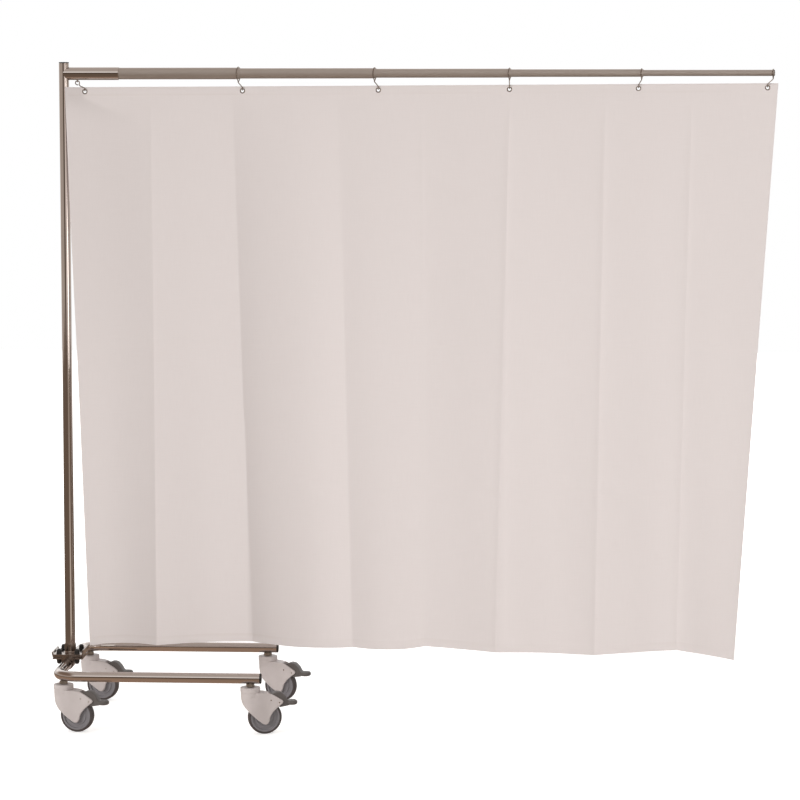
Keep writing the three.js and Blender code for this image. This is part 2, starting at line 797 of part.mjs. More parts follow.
// Where the edges and creases are, at a share of the way down
function creasesAt(drop) {
  return creaseLine.map((top, i) => top + (footLine[i] - top) * drop);
}

// The interval of a rising list that holds a place, and the share of the way through it
function intervalOf(list, place) {
  const after = list.findIndex((value) => value >= place);
  const index = (after < 0 ? list.length - 1 : Math.max(after, 1)) - 1;
  return [index, (place - list[index]) / (list[index + 1] - list[index])];
}

function clothTop(x) {
  const heights = eyeletPlaces.map((_, k) => eyeletHeight(k) + eyeletInset);
  const [index, share] = intervalOf(eyeletPlaces, x);
  return mix(heights, index, THREE.MathUtils.clamp(share, 0, 1));
}

function clothPoint(x, drop, side) {
  const creases = creasesAt(drop);
  const [index, share] = intervalOf(creases, x);
  const top = clothTop(x);
  const hem = clothHem + hemWave * mix(hemWaveShares, index, share);
  const length = top - hem;
  const below = Math.max(drop * length - foldStart, 0) / (length - foldStart);
  const bow = pleatBowShares[index] * 4 * share * (1 - share);
  const fold = foldDepth * below ** foldGrowth * (mix(creaseDepthShares, index, share) + bow);
  const lift = edgeLift * (1 - THREE.MathUtils.smoothstep(x - creases[0], clothLeft, edgeLiftEnd));
  return [x, fold - lift + (side * clothThickness) / 2, top - length * drop];
}

// A panel's edges, and the creases that run in it, kept clear of its seams
function panelStops(k, drop) {
  const creases = creasesAt(drop);
  const first = k === 0;
  const last = k === panelCount - 1;
  const from = first ? creases[0] : seams[k] + clothSeam / 2;
  const to = last ? creases.at(-1) : seams[k + 1] - clothSeam / 2;
  const inside = (x) => x > seams[k] && x < seams[k + 1];
  const folds = creases.slice(1, -1)
    .filter((_, i) => inside(creaseTops[i]) || inside(creaseFeet[i]))
    .map((x) => THREE.MathUtils.clamp(x, from + seamMargin, to - seamMargin));
  const edge = first ? [from + edgeLiftEnd / 2, from + edgeLiftEnd] : [];
  return [from, ...edge, ...folds, to];
}

function panelColumns(k, drop) {
  const tops = panelStops(k, 0);
  const stops = panelStops(k, drop);
  const columns = [];
  for (let i = 0; i + 1 < stops.length; i += 1) {
    const parts = Math.max(Math.round((tops[i + 1] - tops[i]) / clothColumn), 1);
    for (let j = 0; j < parts; j += 1) {
      columns.push(mix(stops, i, j / parts));
    }
  }
  return [...columns, stops.at(-1)];
}

function panelGeometry(k) {
  const firstRow = foldStart / (railHeight - clothHem);
  const rows = [0];
  for (let j = 0; j <= clothRows; j += 1) {
    rows.push(firstRow + (1 - firstRow) * (j / clothRows) ** rowSpread);
  }
  const position = [];
  for (const side of [-1, 1]) {
    for (const drop of rows) {
      for (const x of panelColumns(k, drop)) {
        position.push(...clothPoint(x, drop, side));
      }
    }
  }
  const wide = panelColumns(k, 0).length;
  const sheet = wide * rows.length;
  const index = [];
  const quad = (a, b, c, d) => index.push(a, b, c, a, c, d);
  for (let j = 0; j + 1 < rows.length; j += 1) {
    for (let i = 0; i + 1 < wide; i += 1) {
      const a = j * wide + i;
      quad(a, a + wide, a + wide + 1, a + 1);
      quad(sheet + a, sheet + a + 1, sheet + a + wide + 1, sheet + a + wide);
    }
    const left = j * wide;
    const right = left + wide - 1;
    quad(left, sheet + left, sheet + left + wide, left + wide);
    quad(right, right + wide, sheet + right + wide, sheet + right);
  }
  const last = (rows.length - 1) * wide;
  for (let i = 0; i + 1 < wide; i += 1) {
    quad(i, i + 1, sheet + i + 1, sheet + i);
    quad(last + i, sheet + last + i, sheet + last + i + 1, last + i + 1);
  }
  const geometry = new THREE.BufferGeometry();
  geometry.setAttribute('position', new THREE.Float32BufferAttribute(position, 3));
  geometry.setIndex(index);
  return geometry;
}

function makeCurtain() {
  const holes = eyeletPlaces.map((x, k) =>
    rod('y', eyeletBarrel + gap, -edgeLift, edgeLift, eyeletSides)
      .translate(x, 0, eyeletHeight(k)));
  for (let k = 0; k < panelCount; k += 1) {
    addPiece(`curtain_panel_${k + 1}`, cut(panelGeometry(k), ...holes), curtainCloth);
  }
}

makeBase();
makeCasters();
makePost();
makeClamp();
makeSleeve();
makeRail();
makeFirstHook();
stageRadii.forEach((_, k) => makeHook(k + 1));
makeEyelets();
makeCurtain();

// The origin is the floor point under the middle of the whole screen
const bounds = new THREE.Box3().setFromObject(screen);
const middle = bounds.getCenter(new THREE.Vector3());
screen.position.set(-middle.x, -middle.y, -bounds.min.z);

export default screen;
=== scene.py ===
import bpy
import bmesh
import numpy as np
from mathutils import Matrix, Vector


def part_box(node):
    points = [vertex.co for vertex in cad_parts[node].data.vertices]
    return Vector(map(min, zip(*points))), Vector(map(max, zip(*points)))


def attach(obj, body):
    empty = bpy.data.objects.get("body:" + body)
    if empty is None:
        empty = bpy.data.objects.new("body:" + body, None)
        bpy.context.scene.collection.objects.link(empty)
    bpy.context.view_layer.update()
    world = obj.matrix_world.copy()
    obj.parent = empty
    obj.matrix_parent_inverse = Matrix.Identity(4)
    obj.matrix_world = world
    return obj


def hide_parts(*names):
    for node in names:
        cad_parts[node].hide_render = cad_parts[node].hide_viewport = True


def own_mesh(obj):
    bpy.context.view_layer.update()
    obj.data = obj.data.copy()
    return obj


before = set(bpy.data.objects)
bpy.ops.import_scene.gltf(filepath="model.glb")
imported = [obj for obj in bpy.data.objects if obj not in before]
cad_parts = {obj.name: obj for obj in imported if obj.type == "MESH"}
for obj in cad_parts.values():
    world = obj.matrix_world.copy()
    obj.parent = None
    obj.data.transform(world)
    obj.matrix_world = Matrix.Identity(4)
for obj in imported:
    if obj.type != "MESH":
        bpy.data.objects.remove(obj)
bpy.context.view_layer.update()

MM = 0.001
RAIL_HEIGHT = 1927.0
post_low, post_high = (np.array(corner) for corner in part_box("post_tube"))
rail_low, rail_high = (np.array(corner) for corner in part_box("rail_tube_1"))
ORIGIN = (post_low + post_high) / 2
ORIGIN[2] = (rail_low[2] + rail_high[2]) / 2 - RAIL_HEIGHT * MM


# Base

# One steel tube bent to a U on a mandrel and chrome plated. It opens to the right, and
# black moulded plugs close its two ends. The casters' stems go up into it.

def linear(colour):
    """An sRGB hex colour as Blender's linear one, by the sRGB curve."""
    share = np.array([int(colour[i:i + 2], 16) for i in (1, 3, 5)]) / 255
    low = share / 12.92
    high = ((share + 0.055) / 1.055) ** 2.4
    return (*np.where(share <= 0.04045, low, high).tolist(), 1.0)


def output(source):
    """An output as it is, or a node's first output that is in use."""
    if isinstance(source, bpy.types.Node):
        source = next(socket for socket in source.outputs if socket.enabled)
    return source


def node(tree, kind, settings=()):
    """Adds a shader node. Settings name its properties and sockets. A node or an output that is
    given for a socket is linked to it."""
    made = tree.nodes.new("ShaderNode" + kind)
    for key, value in dict(settings).items():
        if isinstance(value, (bpy.types.Node, bpy.types.NodeSocket)):
            tree.links.new(output(value), made.inputs[key])
        elif isinstance(key, str) and hasattr(made, key):
            setattr(made, key, value)
        else:
            made.inputs[key].default_value = value
    return made


def math(tree, operation, *terms):
    """An arithmetic node on numbers, nodes or outputs."""
    return node(tree, "Math", {"operation": operation, **dict(enumerate(terms))})


def mix(tree, share, first, second):
    """A colour between two. Each is a hex colour, a node or an output."""
    first, second = (linear(tone) if isinstance(tone, str) else tone for tone in (first, second))
    return node(tree, "Mix", {"data_type": "RGBA", 0: share, 6: first, 7: second})


def noise(tree, place, step, detail):
    """Noise over a place, whose marks are about a step across."""
    return node(tree, "TexNoise", {"Scale": 1 / step, "Detail": detail, "Vector": place})


def band(tree, value, low, high, first=0.0, last=1.0, ease="SMOOTHSTEP"):
    """Goes from a first number to a last one while the value goes from low to high."""
    return node(tree, "MapRange", {
        "interpolation_type": ease, "Value": value, "From Min": low, "From Max": high,
        "To Min": first, "To Max": last,
    })


def material(name, settings):
    """A material whose shader has these constant sockets, and the node tree to add to."""
    made = bpy.data.materials.new(name)
    made.use_nodes = True
    tree = made.node_tree
    shader = tree.nodes["Principled BSDF"]
    for key, value in settings.items():
        shader.inputs[key].default_value = value
    place = node(tree, "TexCoord").outputs["Object"]
    return made, tree, shader, place


def feed(tree, shader, colour, normal, roughness=None):
    """Links what is worked out to the shader's colour, normal and roughness."""
    for key, source in (("Base Color", colour), ("Normal", normal), ("Roughness", roughness)):
        if source:
            tree.links.new(output(source), shader.inputs[key])


def polished(name, bright, dull, smooth, hazy, ripple_mm):
    """Plated metal: two tones mixed by soft smudges, which also dull the gloss, and a faint
    ripple left by the polishing wheel."""
    made, tree, shader, place = material(name, {"Metallic": 1.0})
    smudge = noise(tree, place, 90 * MM, 5.0)
    tone = mix(tree, smudge, bright, dull)
    haze = band(tree, smudge, 0.35, 0.7, smooth, hazy, "LINEAR")
    ripple = noise(tree, place, ripple_mm * MM, 1.0)
    bump = node(tree, "Bump", {"Strength": 0.08, "Distance": 0.01 * MM, "Height": ripple})
    feed(tree, shader, tone, bump, haze)
    return made


def moulded(name, light, dark, roughness, grain_mm, depth_mm):
    """Moulded plastic: cloudy two-tone colour, and the fine pitting of a spark-eroded mould."""
    made, tree, shader, place = material(name, {"IOR": 1.49})
    cloud = noise(tree, place, 25 * MM, 4.0)
    pits = noise(tree, place, grain_mm * MM, 2.0)
    tone = mix(tree, cloud, light, dark)
    haze = band(tree, pits, 0.0, 1.0, roughness - 0.08, roughness + 0.1, "LINEAR")
    bump = node(tree, "Bump", {"Strength": 0.6, "Distance": depth_mm * MM, "Height": pits})
    feed(tree, shader, tone, bump, haze)
    return made


def added(name, data):
    """A new object for a mesh, a lamp or a camera, in the scene."""
    made = bpy.data.objects.new(name, data)
    bpy.context.scene.collection.objects.link(made)
    return made


def meshed(name, points, faces, merge):
    """A mesh whose points nearer than the merge distance are one, and whose faces look out."""
    mesh = bpy.data.meshes.new(name)
    mesh.from_pydata(np.asarray(points).tolist(), [], faces)
    shell = bmesh.new()
    shell.from_mesh(mesh)
    bmesh.ops.remove_doubles(shell, verts=shell.verts, dist=merge)
    bmesh.ops.recalc_face_normals(shell, faces=shell.faces)
    shell.to_mesh(mesh)
    shell.free()
    return mesh


def piece(name, shape, finish, slot, body, *nodes, crease=35):
    """Puts a shape's points and faces into the scene, in metres, with its edges sharp past the
    crease angle. It rides on a body and stands for CAD nodes."""
    points, faces = shape
    mesh = meshed(name, ORIGIN + np.asarray(points) * MM, faces, 0.004 * MM)
    mesh.shade_smooth()
    mesh.set_sharp_from_angle(angle=np.radians(crease))
    made = added(name, mesh)
    mesh.materials.append(finish)
    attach(made, body)
    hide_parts(*nodes)
    return made


def skin(grid, around=True, along=False):
    """Quads over a grid of points (rows, columns, 3), which may close on itself either way."""
    rows, columns = grid.shape[:2]
    index = np.arange(rows * columns).reshape(rows, columns)
    if around:
        index = np.hstack([index, index[:, :1]])
    if along:
        index = np.vstack([index, index[:1]])
    corners = [index[:-1, :-1], index[:-1, 1:], index[1:, 1:], index[1:, :-1]]
    faces = np.stack(corners, -1).reshape(-1, 4)
    return grid.reshape(-1, 3), faces.tolist()


def swept(path, radius, up, sides, rounded=0.0):
    """A round wire or tube: circles square to the path's direction, turned from the vector up.
    The ends shrink to a point, over a dome of the rounded length or at once."""
    path = np.asarray(path, float)
    run = np.gradient(path, axis=0)
    run /= np.linalg.norm(run, axis=1, keepdims=True)
    dome = np.linspace(0, np.pi / 2, 5)
    reach, size = rounded * np.sin(dome), radius * np.cos(dome)
    head = path[0] - run[0] * reach[::-1, None]
    tail = path[-1] + run[-1] * reach[:, None]
    stations = np.vstack([head, path[1:-1], tail])
    run = np.vstack([run[:1].repeat(len(dome), 0), run[1:-1], run[-1:].repeat(len(dome), 0)])
    size = np.concatenate([size[::-1], np.full(len(path) - 2, radius), size])
    side = np.cross(run, up)
    side /= np.linalg.norm(side, axis=1, keepdims=True)
    other = np.cross(side, run)
    angle = np.linspace(0, 2 * np.pi, sides, endpoint=False)[None, :, None]
    ring = np.cos(angle) * side[:, None] + np.sin(angle) * other[:, None]
    return skin(stations[:, None] + ring * size[:, None, None])


def softened(outline, radius, steps=5, closed=True):
    """An outline with each corner turned into a curve: the quadratic whose handle is the corner
    and whose ends lie the radius away on both sides, or at most 0.45 of the side."""
    outline = np.asarray(outline, float)
    before = np.roll(outline, 1, 0) - outline
    after = np.roll(outline, -1, 0) - outline
    if not closed:
        before[0] = after[-1] = 0
    ends = []
    for side in (before, after):
        long = np.linalg.norm(side, axis=1, keepdims=True)
        ends.append(outline + side / np.maximum(long, 1e-9) * np.minimum(radius, 0.45 * long))
    share = np.linspace(0, 1, steps)[None, :, None]
    start, handle, end = ends[0][:, None], outline[:, None], ends[1][:, None]
    curve = (1 - share) ** 2 * start + 2 * share * (1 - share) * handle + share ** 2 * end
    return curve.reshape(-1, 2)


def turned(profile, axis="x", sides=64, centre=(0, 0, 0)):
    """A piece turned on a lathe: each (radius, place) of the profile carried round the axis.
    The profile begins and ends on the axis, or closes on itself."""
    profile = np.asarray(profile, float)
    angle = np.linspace(0, 2 * np.pi, sides, endpoint=False)
    radius, place = profile[:, :1], profile[:, 1:]
    grid = np.stack([place + 0 * angle, radius * np.cos(angle), radius * np.sin(angle)], -1)
    grid = np.roll(grid, "xyz".index(axis), -1) + np.asarray(centre, float)
    open_ends = profile[0, 0] == 0 and profile[-1, 0] == 0
    return skin(grid, along=not open_ends)


def solid_profile(corners, radius, steps=5):
    """A profile that starts and ends on the axis, with the corners between softened."""
    return softened(corners, radius, steps, closed=False)


TUBE_RADIUS = 15.0
BASE_HEIGHT = 165.0
LEG_SPACING = 500.0
LEG_LENGTH = 606.0
BEND_RADIUS = 60.0
PLUG_FLANGE = 5.0
JOINT_GAP = 0.3

# Bright chrome over polished steel mirrors the room; its colour is tinted a little warm, a painted
# reflection of the brown floor
chrome = polished("bright_chrome_plate", "#c6bcb6", "#bcb1aa", 0.04, 0.11, 14)
# Moulded polypropylene plugs and caps are deep black with a low, even gloss
black_cap = moulded("moulded_black_polypropylene", "#232120", "#191817", 0.42, 0.9, 0.03)

quarter = np.linspace(0, np.pi / 2, 25)
corner = LEG_SPACING / 2 - BEND_RADIUS
leg_end = LEG_LENGTH - PLUG_FLANGE - JOINT_GAP
front_bend = np.stack([
    BEND_RADIUS - BEND_RADIUS * np.sin(quarter), -corner - BEND_RADIUS * np.cos(quarter),
], 1)
rear_bend = front_bend[::-1] * [1, -1]
leg = np.linspace(leg_end, BEND_RADIUS, 9)[:-1]
front_leg = np.stack([leg, np.full_like(leg, -LEG_SPACING / 2)], 1)
rear_leg = front_leg[::-1] * [1, -1]
base_path = np.vstack([front_leg, front_bend, rear_bend, rear_leg])
base_path = np.column_stack([base_path, np.full(len(base_path), BASE_HEIGHT)])
piece("bent_base_tube", swept(base_path, TUBE_RADIUS, (0, 0, 1), 64),
      chrome, "chrome", "frame", "base_tube", crease=50)

for end_name, side in (("front", -1), ("rear", 1)):
    plug = solid_profile([
        (0, LEG_LENGTH - PLUG_FLANGE), (TUBE_RADIUS, LEG_LENGTH - PLUG_FLANGE),
        (TUBE_RADIUS, LEG_LENGTH - 0.8), (TUBE_RADIUS - 5, LEG_LENGTH), (3, LEG_LENGTH - 0.1),
        (2.4, LEG_LENGTH - 0.6), (0, LEG_LENGTH - 0.6),
    ], 1.6)
    piece(f"leg_end_plug_{end_name}",
          turned(plug, "x", 48, (0, side * LEG_SPACING / 2, BASE_HEIGHT)),
          black_cap, "black_plastic", "frame", f"base_end_cap_{end_name}")


# Casters

# Four swivel casters: a one-piece moulded nylon housing with its swivel head, a grey wheel
# with a soft tread, and a foot pedal that presses on the tread. All four stand locked.

WHEEL_RADIUS = 50.0
TRAIL = 42.5
HEAD_TOP = 90.0
HEAD_FOOT = 63.0
HEAD_RADIUS = 29.0
RING_DEPTH = 13.0
NECK_RADIUS = 27.6
FORK_HALF = 19.5
WELL_HALF = 14.5
WELL_RADIUS = 53.5
PEDAL_BAY_START = 10.5
PEDAL_BAY_END = 110.0
RIVET = (15.8, 51.6)
BRAKE_PIN = (40.9, 43.9)
WHEEL_HALF = 13.0
TREAD_DEPTH = 7.0
TREAD_RADIUS = 49.38
COLLAR_RADIUS = 12.5
COLLAR_HEIGHT = 10.0
STEM_RADIUS = 6.0
STEM_FLANGE = 14.0
NECK_BLEND = 60.0
SHELL_TAIL = 8.0
PADDLE_HEIGHT = 40.3
PADDLE_HALF = 6.2
GRIP_SPACING = 3.6

CASTERS = {
    "left_front": ((20.0, -234.721), -10.0),
    "left_rear": ((20.0, 234.721), -10.0),
    "right_front": ((573.0, -250.0), 16.0),
    "right_rear": ((573.0, 250.0), -14.0),
}

# Glass-filled nylon in a light warm grey, softly glossy
housing_nylon = moulded("moulded_grey_nylon_housing", "#c8bfbd", "#bbb2af", 0.42, 1.1, 0.035)
# Polypropylene wheel disc in cool mid grey
wheel_grey = moulded("moulded_polypropylene_wheel", "#838083", "#757275", 0.4, 1.0, 0.02)
# Thermoplastic rubber tread, darker, matt and a little dusty
tread_rubber = moulded("thermoplastic_rubber_tread", "#453f3e", "#514a49", 0.66, 0.8, 0.05)
# Reinforced nylon pedal, dark grey with a dull gloss
pedal_nylon = moulded("moulded_dark_nylon_pedal", "#615c59", "#56514f", 0.45, 1.0, 0.03)
# Zinc plating on steel: a little darker than chrome and hazier, with a broken sheen
zinc = polished("bright_zinc_plate", "#b9b2a8", "#a39b92", 0.2, 0.38, 6)


def loft(outline, centre, half_at, edge, sides=16):
    """A thick rounded slab: rings shrink from the outline to the centre on both faces. The half
    thickness is a function of x, less a quarter round of the edge's size at the rim."""
    outline = np.asarray(outline, float)
    arc = np.linspace(0, np.pi / 2, 6)
    inset = edge * (1 - np.cos(arc))
    drop = edge * (1 - np.sin(arc))
    span = np.linalg.norm(outline - centre, axis=1)
    rim = outline + (np.asarray(centre) - outline) * (inset[:, None] / span)[:, :, None]
    inner = np.linspace(0, 1, sides)[1:, None, None]
    face = rim[-1] + (np.asarray(centre) - rim[-1]) * inner
    plan = np.concatenate([rim, face])
    drop = np.concatenate([drop, np.zeros(len(face))])[:, None]
    half = half_at(plan[..., 0]) - drop
    near = np.stack([plan[..., 0], -half, plan[..., 1]], -1)
    far = np.stack([plan[..., 0], half, plan[..., 1]], -1)
    return skin(np.concatenate([near[::-1], far]))


def plate(outline, half, edge, steps=5):
    """A flat plate with rounded edges: the outline carried across from face to face, drawn in by
    a quarter round at both, and closed by two flat faces."""
    outline = np.asarray(outline, float)
    before = outline - np.roll(outline, 1, 0)
    after = np.roll(outline, -1, 0) - outline
    normal = []
    for run in (before, after):
        turned_run = np.stack([-run[:, 1], run[:, 0]], 1)
        normal.append(turned_run / np.maximum(np.linalg.norm(run, axis=1, keepdims=True), 1e-9))
    inward = normal[0] + normal[1]
    inward /= np.maximum((inward ** 2).sum(1, keepdims=True) / 2, 0.5)
    area = (outline[:, 0] * np.roll(outline[:, 1], -1) - np.roll(outline[:, 0], -1) * outline[:, 1]).sum()
    inward *= np.sign(area)
    arc = np.linspace(0, np.pi / 2, steps)
    inset = np.append(edge * (1 - np.cos(arc)), edge * 1.3)
    depth = np.append(half - edge * (1 - np.sin(arc)), half)
    plan = outline + inward * inset[:, None, None]
    near = np.concatenate([plan, -np.broadcast_to(depth[:, None, None], plan.shape[:2] + (1,))], -1)
    far = near * [1, 1, -1]
    rings = np.concatenate([near[::-1], far])[..., [0, 2, 1]]
    points, faces = skin(rings)
    count = len(outline)
    last = len(points) - count
    faces.append(list(range(count)))
    faces.append(list(range(last, last + count))[::-1])
    return points, faces


def laid(shape, height):
    """A plate's shape turned down to lie flat at a height."""
    points, faces = shape
    return points[:, [0, 2, 1]] + [0, 0, height], faces


def carved(first, *steps):
    """Joins or cuts closed shapes one after another with exact booleans."""
    def shell(shape):
        return added("shell", meshed("shell", *shape, 0.001))

    base = shell(first)
    tools = [(way, shell(shape)) for way, shape in steps]
    for way, tool in tools:
        change = base.modifiers.new("carve", "BOOLEAN")
        change.operation, change.solver, change.object = way, "EXACT", tool
    bpy.context.view_layer.update()
    result = base.evaluated_get(bpy.context.evaluated_depsgraph_get()).to_mesh()
    points = np.array([vertex.co for vertex in result.vertices])
    faces = [list(face.vertices) for face in result.polygons]
    for made in [base, *(tool for _, tool in tools)]:
        bpy.data.objects.remove(made)
    return points, faces


def block(low, high):
    """A box between two corners, used only to cut with."""
    share = np.array([[i & 1, i >> 1 & 1, i >> 2] for i in range(8)])
    faces = [[0, 1, 3, 2], [4, 6, 7, 5], [0, 4, 5, 1], [2, 3, 7, 6], [0, 2, 6, 4], [1, 5, 7, 3]]
    return np.array(low) + share * (np.array(high) - np.array(low)), faces


# The housing's side view about the wheel's centre: head, hood, and fork down to the axle
HOOD_OUTLINE = [
    (-70, 62), (-69.5, 74), (-20, 75.5), (0, 74.5), (13, 71.5), (23, 67), (36.5, 59), (50.5, 50),
    (53, 46), (50.5, 40.5), (37.5, 31), (22.5, 16.5), (13.5, 2.5), (11.5, -10), (7, -18), (0, -21),
    (-8, -18), (-30, 0), (-51.5, 20.5), (-62.5, 36), (-69, 54),
]


def fork_half(x):
    """Half the housing's width at x: a circle's half chord behind the swivel axis, and ahead of
    it a cubic ease from the neck's radius to the fork's half width."""
    behind = np.sqrt(np.maximum(NECK_RADIUS ** 2 - (x + TRAIL) ** 2, SHELL_TAIL ** 2))
    share = np.clip((x + TRAIL) / NECK_BLEND, 0, 1)
    ahead = NECK_RADIUS - (NECK_RADIUS - FORK_HALF) * share ** 2 * (3 - 2 * share)
    return np.where(x < -TRAIL, behind, ahead)


head = turned(solid_profile([
    (0, HEAD_FOOT), (NECK_RADIUS + 0.3, HEAD_FOOT), (NECK_RADIUS + 0.3, HEAD_TOP - RING_DEPTH - 1),
    (HEAD_RADIUS, HEAD_TOP - RING_DEPTH), (HEAD_RADIUS, HEAD_TOP),
    (COLLAR_RADIUS + 3, HEAD_TOP), (COLLAR_RADIUS + 2, HEAD_TOP - 0.8), (0, HEAD_TOP - 0.8),
], 1.2), "z", 64, (-TRAIL, 0, 0))
well = turned([(0, -WELL_HALF), (WELL_RADIUS, -WELL_HALF), (WELL_RADIUS, WELL_HALF), (0, WELL_HALF)],
              "y", 96)
bore = STEM_FLANGE + JOINT_GAP
flange_bore = turned([(0, 0), (bore, 0), (bore, HEAD_FOOT), (0, HEAD_FOOT)], "z", 32, (-TRAIL, 0, 0))
pedal_bay = block((PEDAL_BAY_START, -WELL_HALF, BRAKE_PIN[1] - 50),
                  (PEDAL_BAY_END, WELL_HALF, BRAKE_PIN[1] + 50))
housing = carved(
    loft(softened(HOOD_OUTLINE, 6, 7), (-20, 40), fork_half, 3.5),
    ("UNION", head), ("DIFFERENCE", well), ("DIFFERENCE", pedal_bay), ("DIFFERENCE", flange_bore),
)

tread_inner = WHEEL_RADIUS - TREAD_DEPTH - JOINT_GAP
disc_half = [
    (4.3, WHEEL_HALF), (10.5, WHEEL_HALF), (12, WHEEL_HALF - 4), (25, WHEEL_HALF - 4.2),
    (25.6, WHEEL_HALF - 2.8), (28.6, WHEEL_HALF - 2.8), (29.2, WHEEL_HALF - 5),
    (36.4, WHEEL_HALF - 5), (37.4, WHEEL_HALF - 0.9), (tread_inner, WHEEL_HALF - 1.2),
]
disc_profile = np.array(disc_half + [(r, -y) for r, y in disc_half[::-1]])
wheel_disc = turned(softened(disc_profile, 0.7, 4), "y", 96)
tread_edge = WHEEL_HALF - 0.75
tread_profile = [
    (tread_inner + JOINT_GAP, -tread_edge), (46.0, -tread_edge), (48.1, -tread_edge + 1.2),
    (TREAD_RADIUS, -tread_edge + 4), (TREAD_RADIUS, tread_edge - 4), (48.1, tread_edge - 1.2),
    (46.0, tread_edge), (tread_inner + JOINT_GAP, tread_edge),
]
tread = turned(softened(tread_profile, 1.5, 4), "y", 96)

LEVER_OUTLINE = [
    (15, 59), (18, 65), (25, 71), (35.5, 74.5), (48.5, 72), (60, 61), (66.5, 49), (71, 46.5),
    (71, 33), (64, 32), (52.5, 30), (42.2, 28.5), (39, 32.7), (35.4, 36.6), (27.7, 52),
    (22, 54.6), (16.2, 56.6),
]
lever = plate(softened(LEVER_OUTLINE, 4, 5), WELL_HALF - 1, 2.2)
# The paddle's plan is a tongue with a round end, and its top has five shallow grip bars
tongue_angle = np.linspace(-np.pi / 2, np.pi / 2, 25)
tongue = np.vstack([
    [(66, -15), (72, -17.2)],
    np.stack([81 + 16 * np.cos(tongue_angle), 18 * np.sin(tongue_angle)], 1),
    [(72, 17.2), (66, 15)],
])
across = np.linspace(-11, 11, 9)
grips = []
for bar in range(5):
    run = np.stack([0 * across + 76 + bar * GRIP_SPACING, across,
                    0 * across + PADDLE_HEIGHT + PADDLE_HALF - 0.1], 1)
    grips.append(("UNION", swept(run, 0.7, (1, 0, 0), 10, 0.7)))
paddle = laid(plate(tongue, PADDLE_HALF, 5.4, 8), PADDLE_HEIGHT)
pedal_shape = carved(lever, ("UNION", paddle), *grips)

pin_head = [(0, -FORK_HALF - 0.5), (1.9, -FORK_HALF - 0.5), (2.2, -FORK_HALF + 0.6)]
pin_profile = solid_profile(pin_head + [(r, -y) for r, y in pin_head[::-1]], 0.5, 4)
brake_pin = turned(pin_profile, "y", 24, (BRAKE_PIN[0], 0, BRAKE_PIN[1]))
# The hood's rivets stop at the fork's inner faces, so that the pedal can swing between them
stud_foot = -WELL_HALF - JOINT_GAP
stud_profile = solid_profile(pin_head + [(2.2, stud_foot), (0, stud_foot)], 0.5, 4)
stud_points, stud_faces = turned(stud_profile, "y", 24, (RIVET[0], 0, RIVET[1]))
rivet = (np.vstack([stud_points, stud_points * [1, -1, 1]]),
         stud_faces + [[corner + len(stud_points) for corner in face] for face in stud_faces])

collar_foot = HEAD_TOP + JOINT_GAP
collar_top = HEAD_TOP + COLLAR_HEIGHT - JOINT_GAP
hexagon_angle = np.radians(np.arange(6) * 60)
hexagon = COLLAR_RADIUS * np.stack([np.cos(hexagon_angle), np.sin(hexagon_angle)], 1)
nut = laid(plate(softened(hexagon, 1.2, 4), (collar_top - collar_foot) / 2, 0.7),
           (collar_top + collar_foot) / 2)
stem_rod = turned(solid_profile([
    (0, HEAD_FOOT - 4), (STEM_FLANGE, HEAD_FOOT - 4), (STEM_FLANGE, HEAD_FOOT - 0.6),
    (STEM_RADIUS, HEAD_FOOT - 0.6), (STEM_RADIUS, HEAD_TOP + COLLAR_HEIGHT + 24),
    (0, HEAD_TOP + COLLAR_HEIGHT + 26),
], 0.6), "z", 32)
stem_shape = carved(stem_rod, ("UNION", nut))


def placed(shape, turn, place):
    """The shape turned about its own upright axis and set down at a place."""
    points, faces = shape
    c, s = np.cos(np.radians(turn)), np.sin(np.radians(turn))
    spin = np.array([[c, s, 0], [-s, c, 0], [0, 0, 1]])
    return np.asarray(points) @ spin + place, faces


for name, ((x, y), swivel) in CASTERS.items():
    way = np.array([np.cos(np.radians(swivel)), np.sin(np.radians(swivel)), 0])
    hub = np.array([x, y, WHEEL_RADIUS]) + TRAIL * way
    fork, roller, brake = (f"caster_{name}_{part}" for part in ("fork", "roller", "brake"))
    cad = f"caster_{name}_"
    for part, shape, finish, slot, body, replaced, crease in (
        ("housing_shell", housing, housing_nylon, "housing_plastic", fork, "housing", 32),
        ("hood_rivet", rivet, zinc, "zinc_steel", fork, "housing", 35),
        ("wheel_disc", wheel_disc, wheel_grey, "wheel_plastic", roller, "wheel", 35),
        ("tread", tread, tread_rubber, "tyre_rubber", roller, "tyre", 35),
        ("brake_lever", pedal_shape, pedal_nylon, "pedal_plastic", brake, "pedal", 35),
        ("brake_pin", brake_pin, zinc, "zinc_steel", brake, "pedal", 35),
    ):
        piece(f"{name}_{part}", placed(shape, swivel, hub),
              finish, slot, body, cad + replaced, crease=crease)
    piece(f"{name}_stem_and_nut", placed(stem_shape, 0, (x, y, WHEEL_RADIUS)),
          zinc, "zinc_steel", "frame", cad + "stem")
    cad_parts[cad + "axle"].data.materials.clear()
    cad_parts[cad + "axle"].data.materials.append(zinc)


# Clamp

# Two pressed and chromed steel halves grip the crossbar, drawn together by four bolts with
# black moulded covers. The post stands in a socket welded to the upper half.

CLAMP_HALF = 45.0
CLAMP_REACH = 52.0
PLATE_FOOT = 185.0
PLATE_TOP = 193.0
SADDLE_INNER = TUBE_RADIUS + JOINT_GAP
SADDLE_OUTER = SADDLE_INNER + 2.7
BOLT_ACROSS = 54.0
BOLT_ALONG = 80.0
EAR_TOP = PLATE_FOOT - 1.5
EAR_FOOT = EAR_TOP - 5

# Pressed steel keeps its rolled surface under the chrome, so it is hazier than tube; its darker
# colour is painted shade that stands in for the dark room it reflects
pressed_chrome = polished("chromed_pressed_steel", "#a2968e", "#8f847c", 0.14, 0.3, 9)


def arc_points(centre, radius, start, end, steps):
    """Points along an arc, from one angle in degrees to another."""
    angle = np.radians(np.linspace(start, end, steps))
    return np.stack([centre[0] + radius * np.cos(angle), centre[1] + radius * np.sin(angle)], 1)


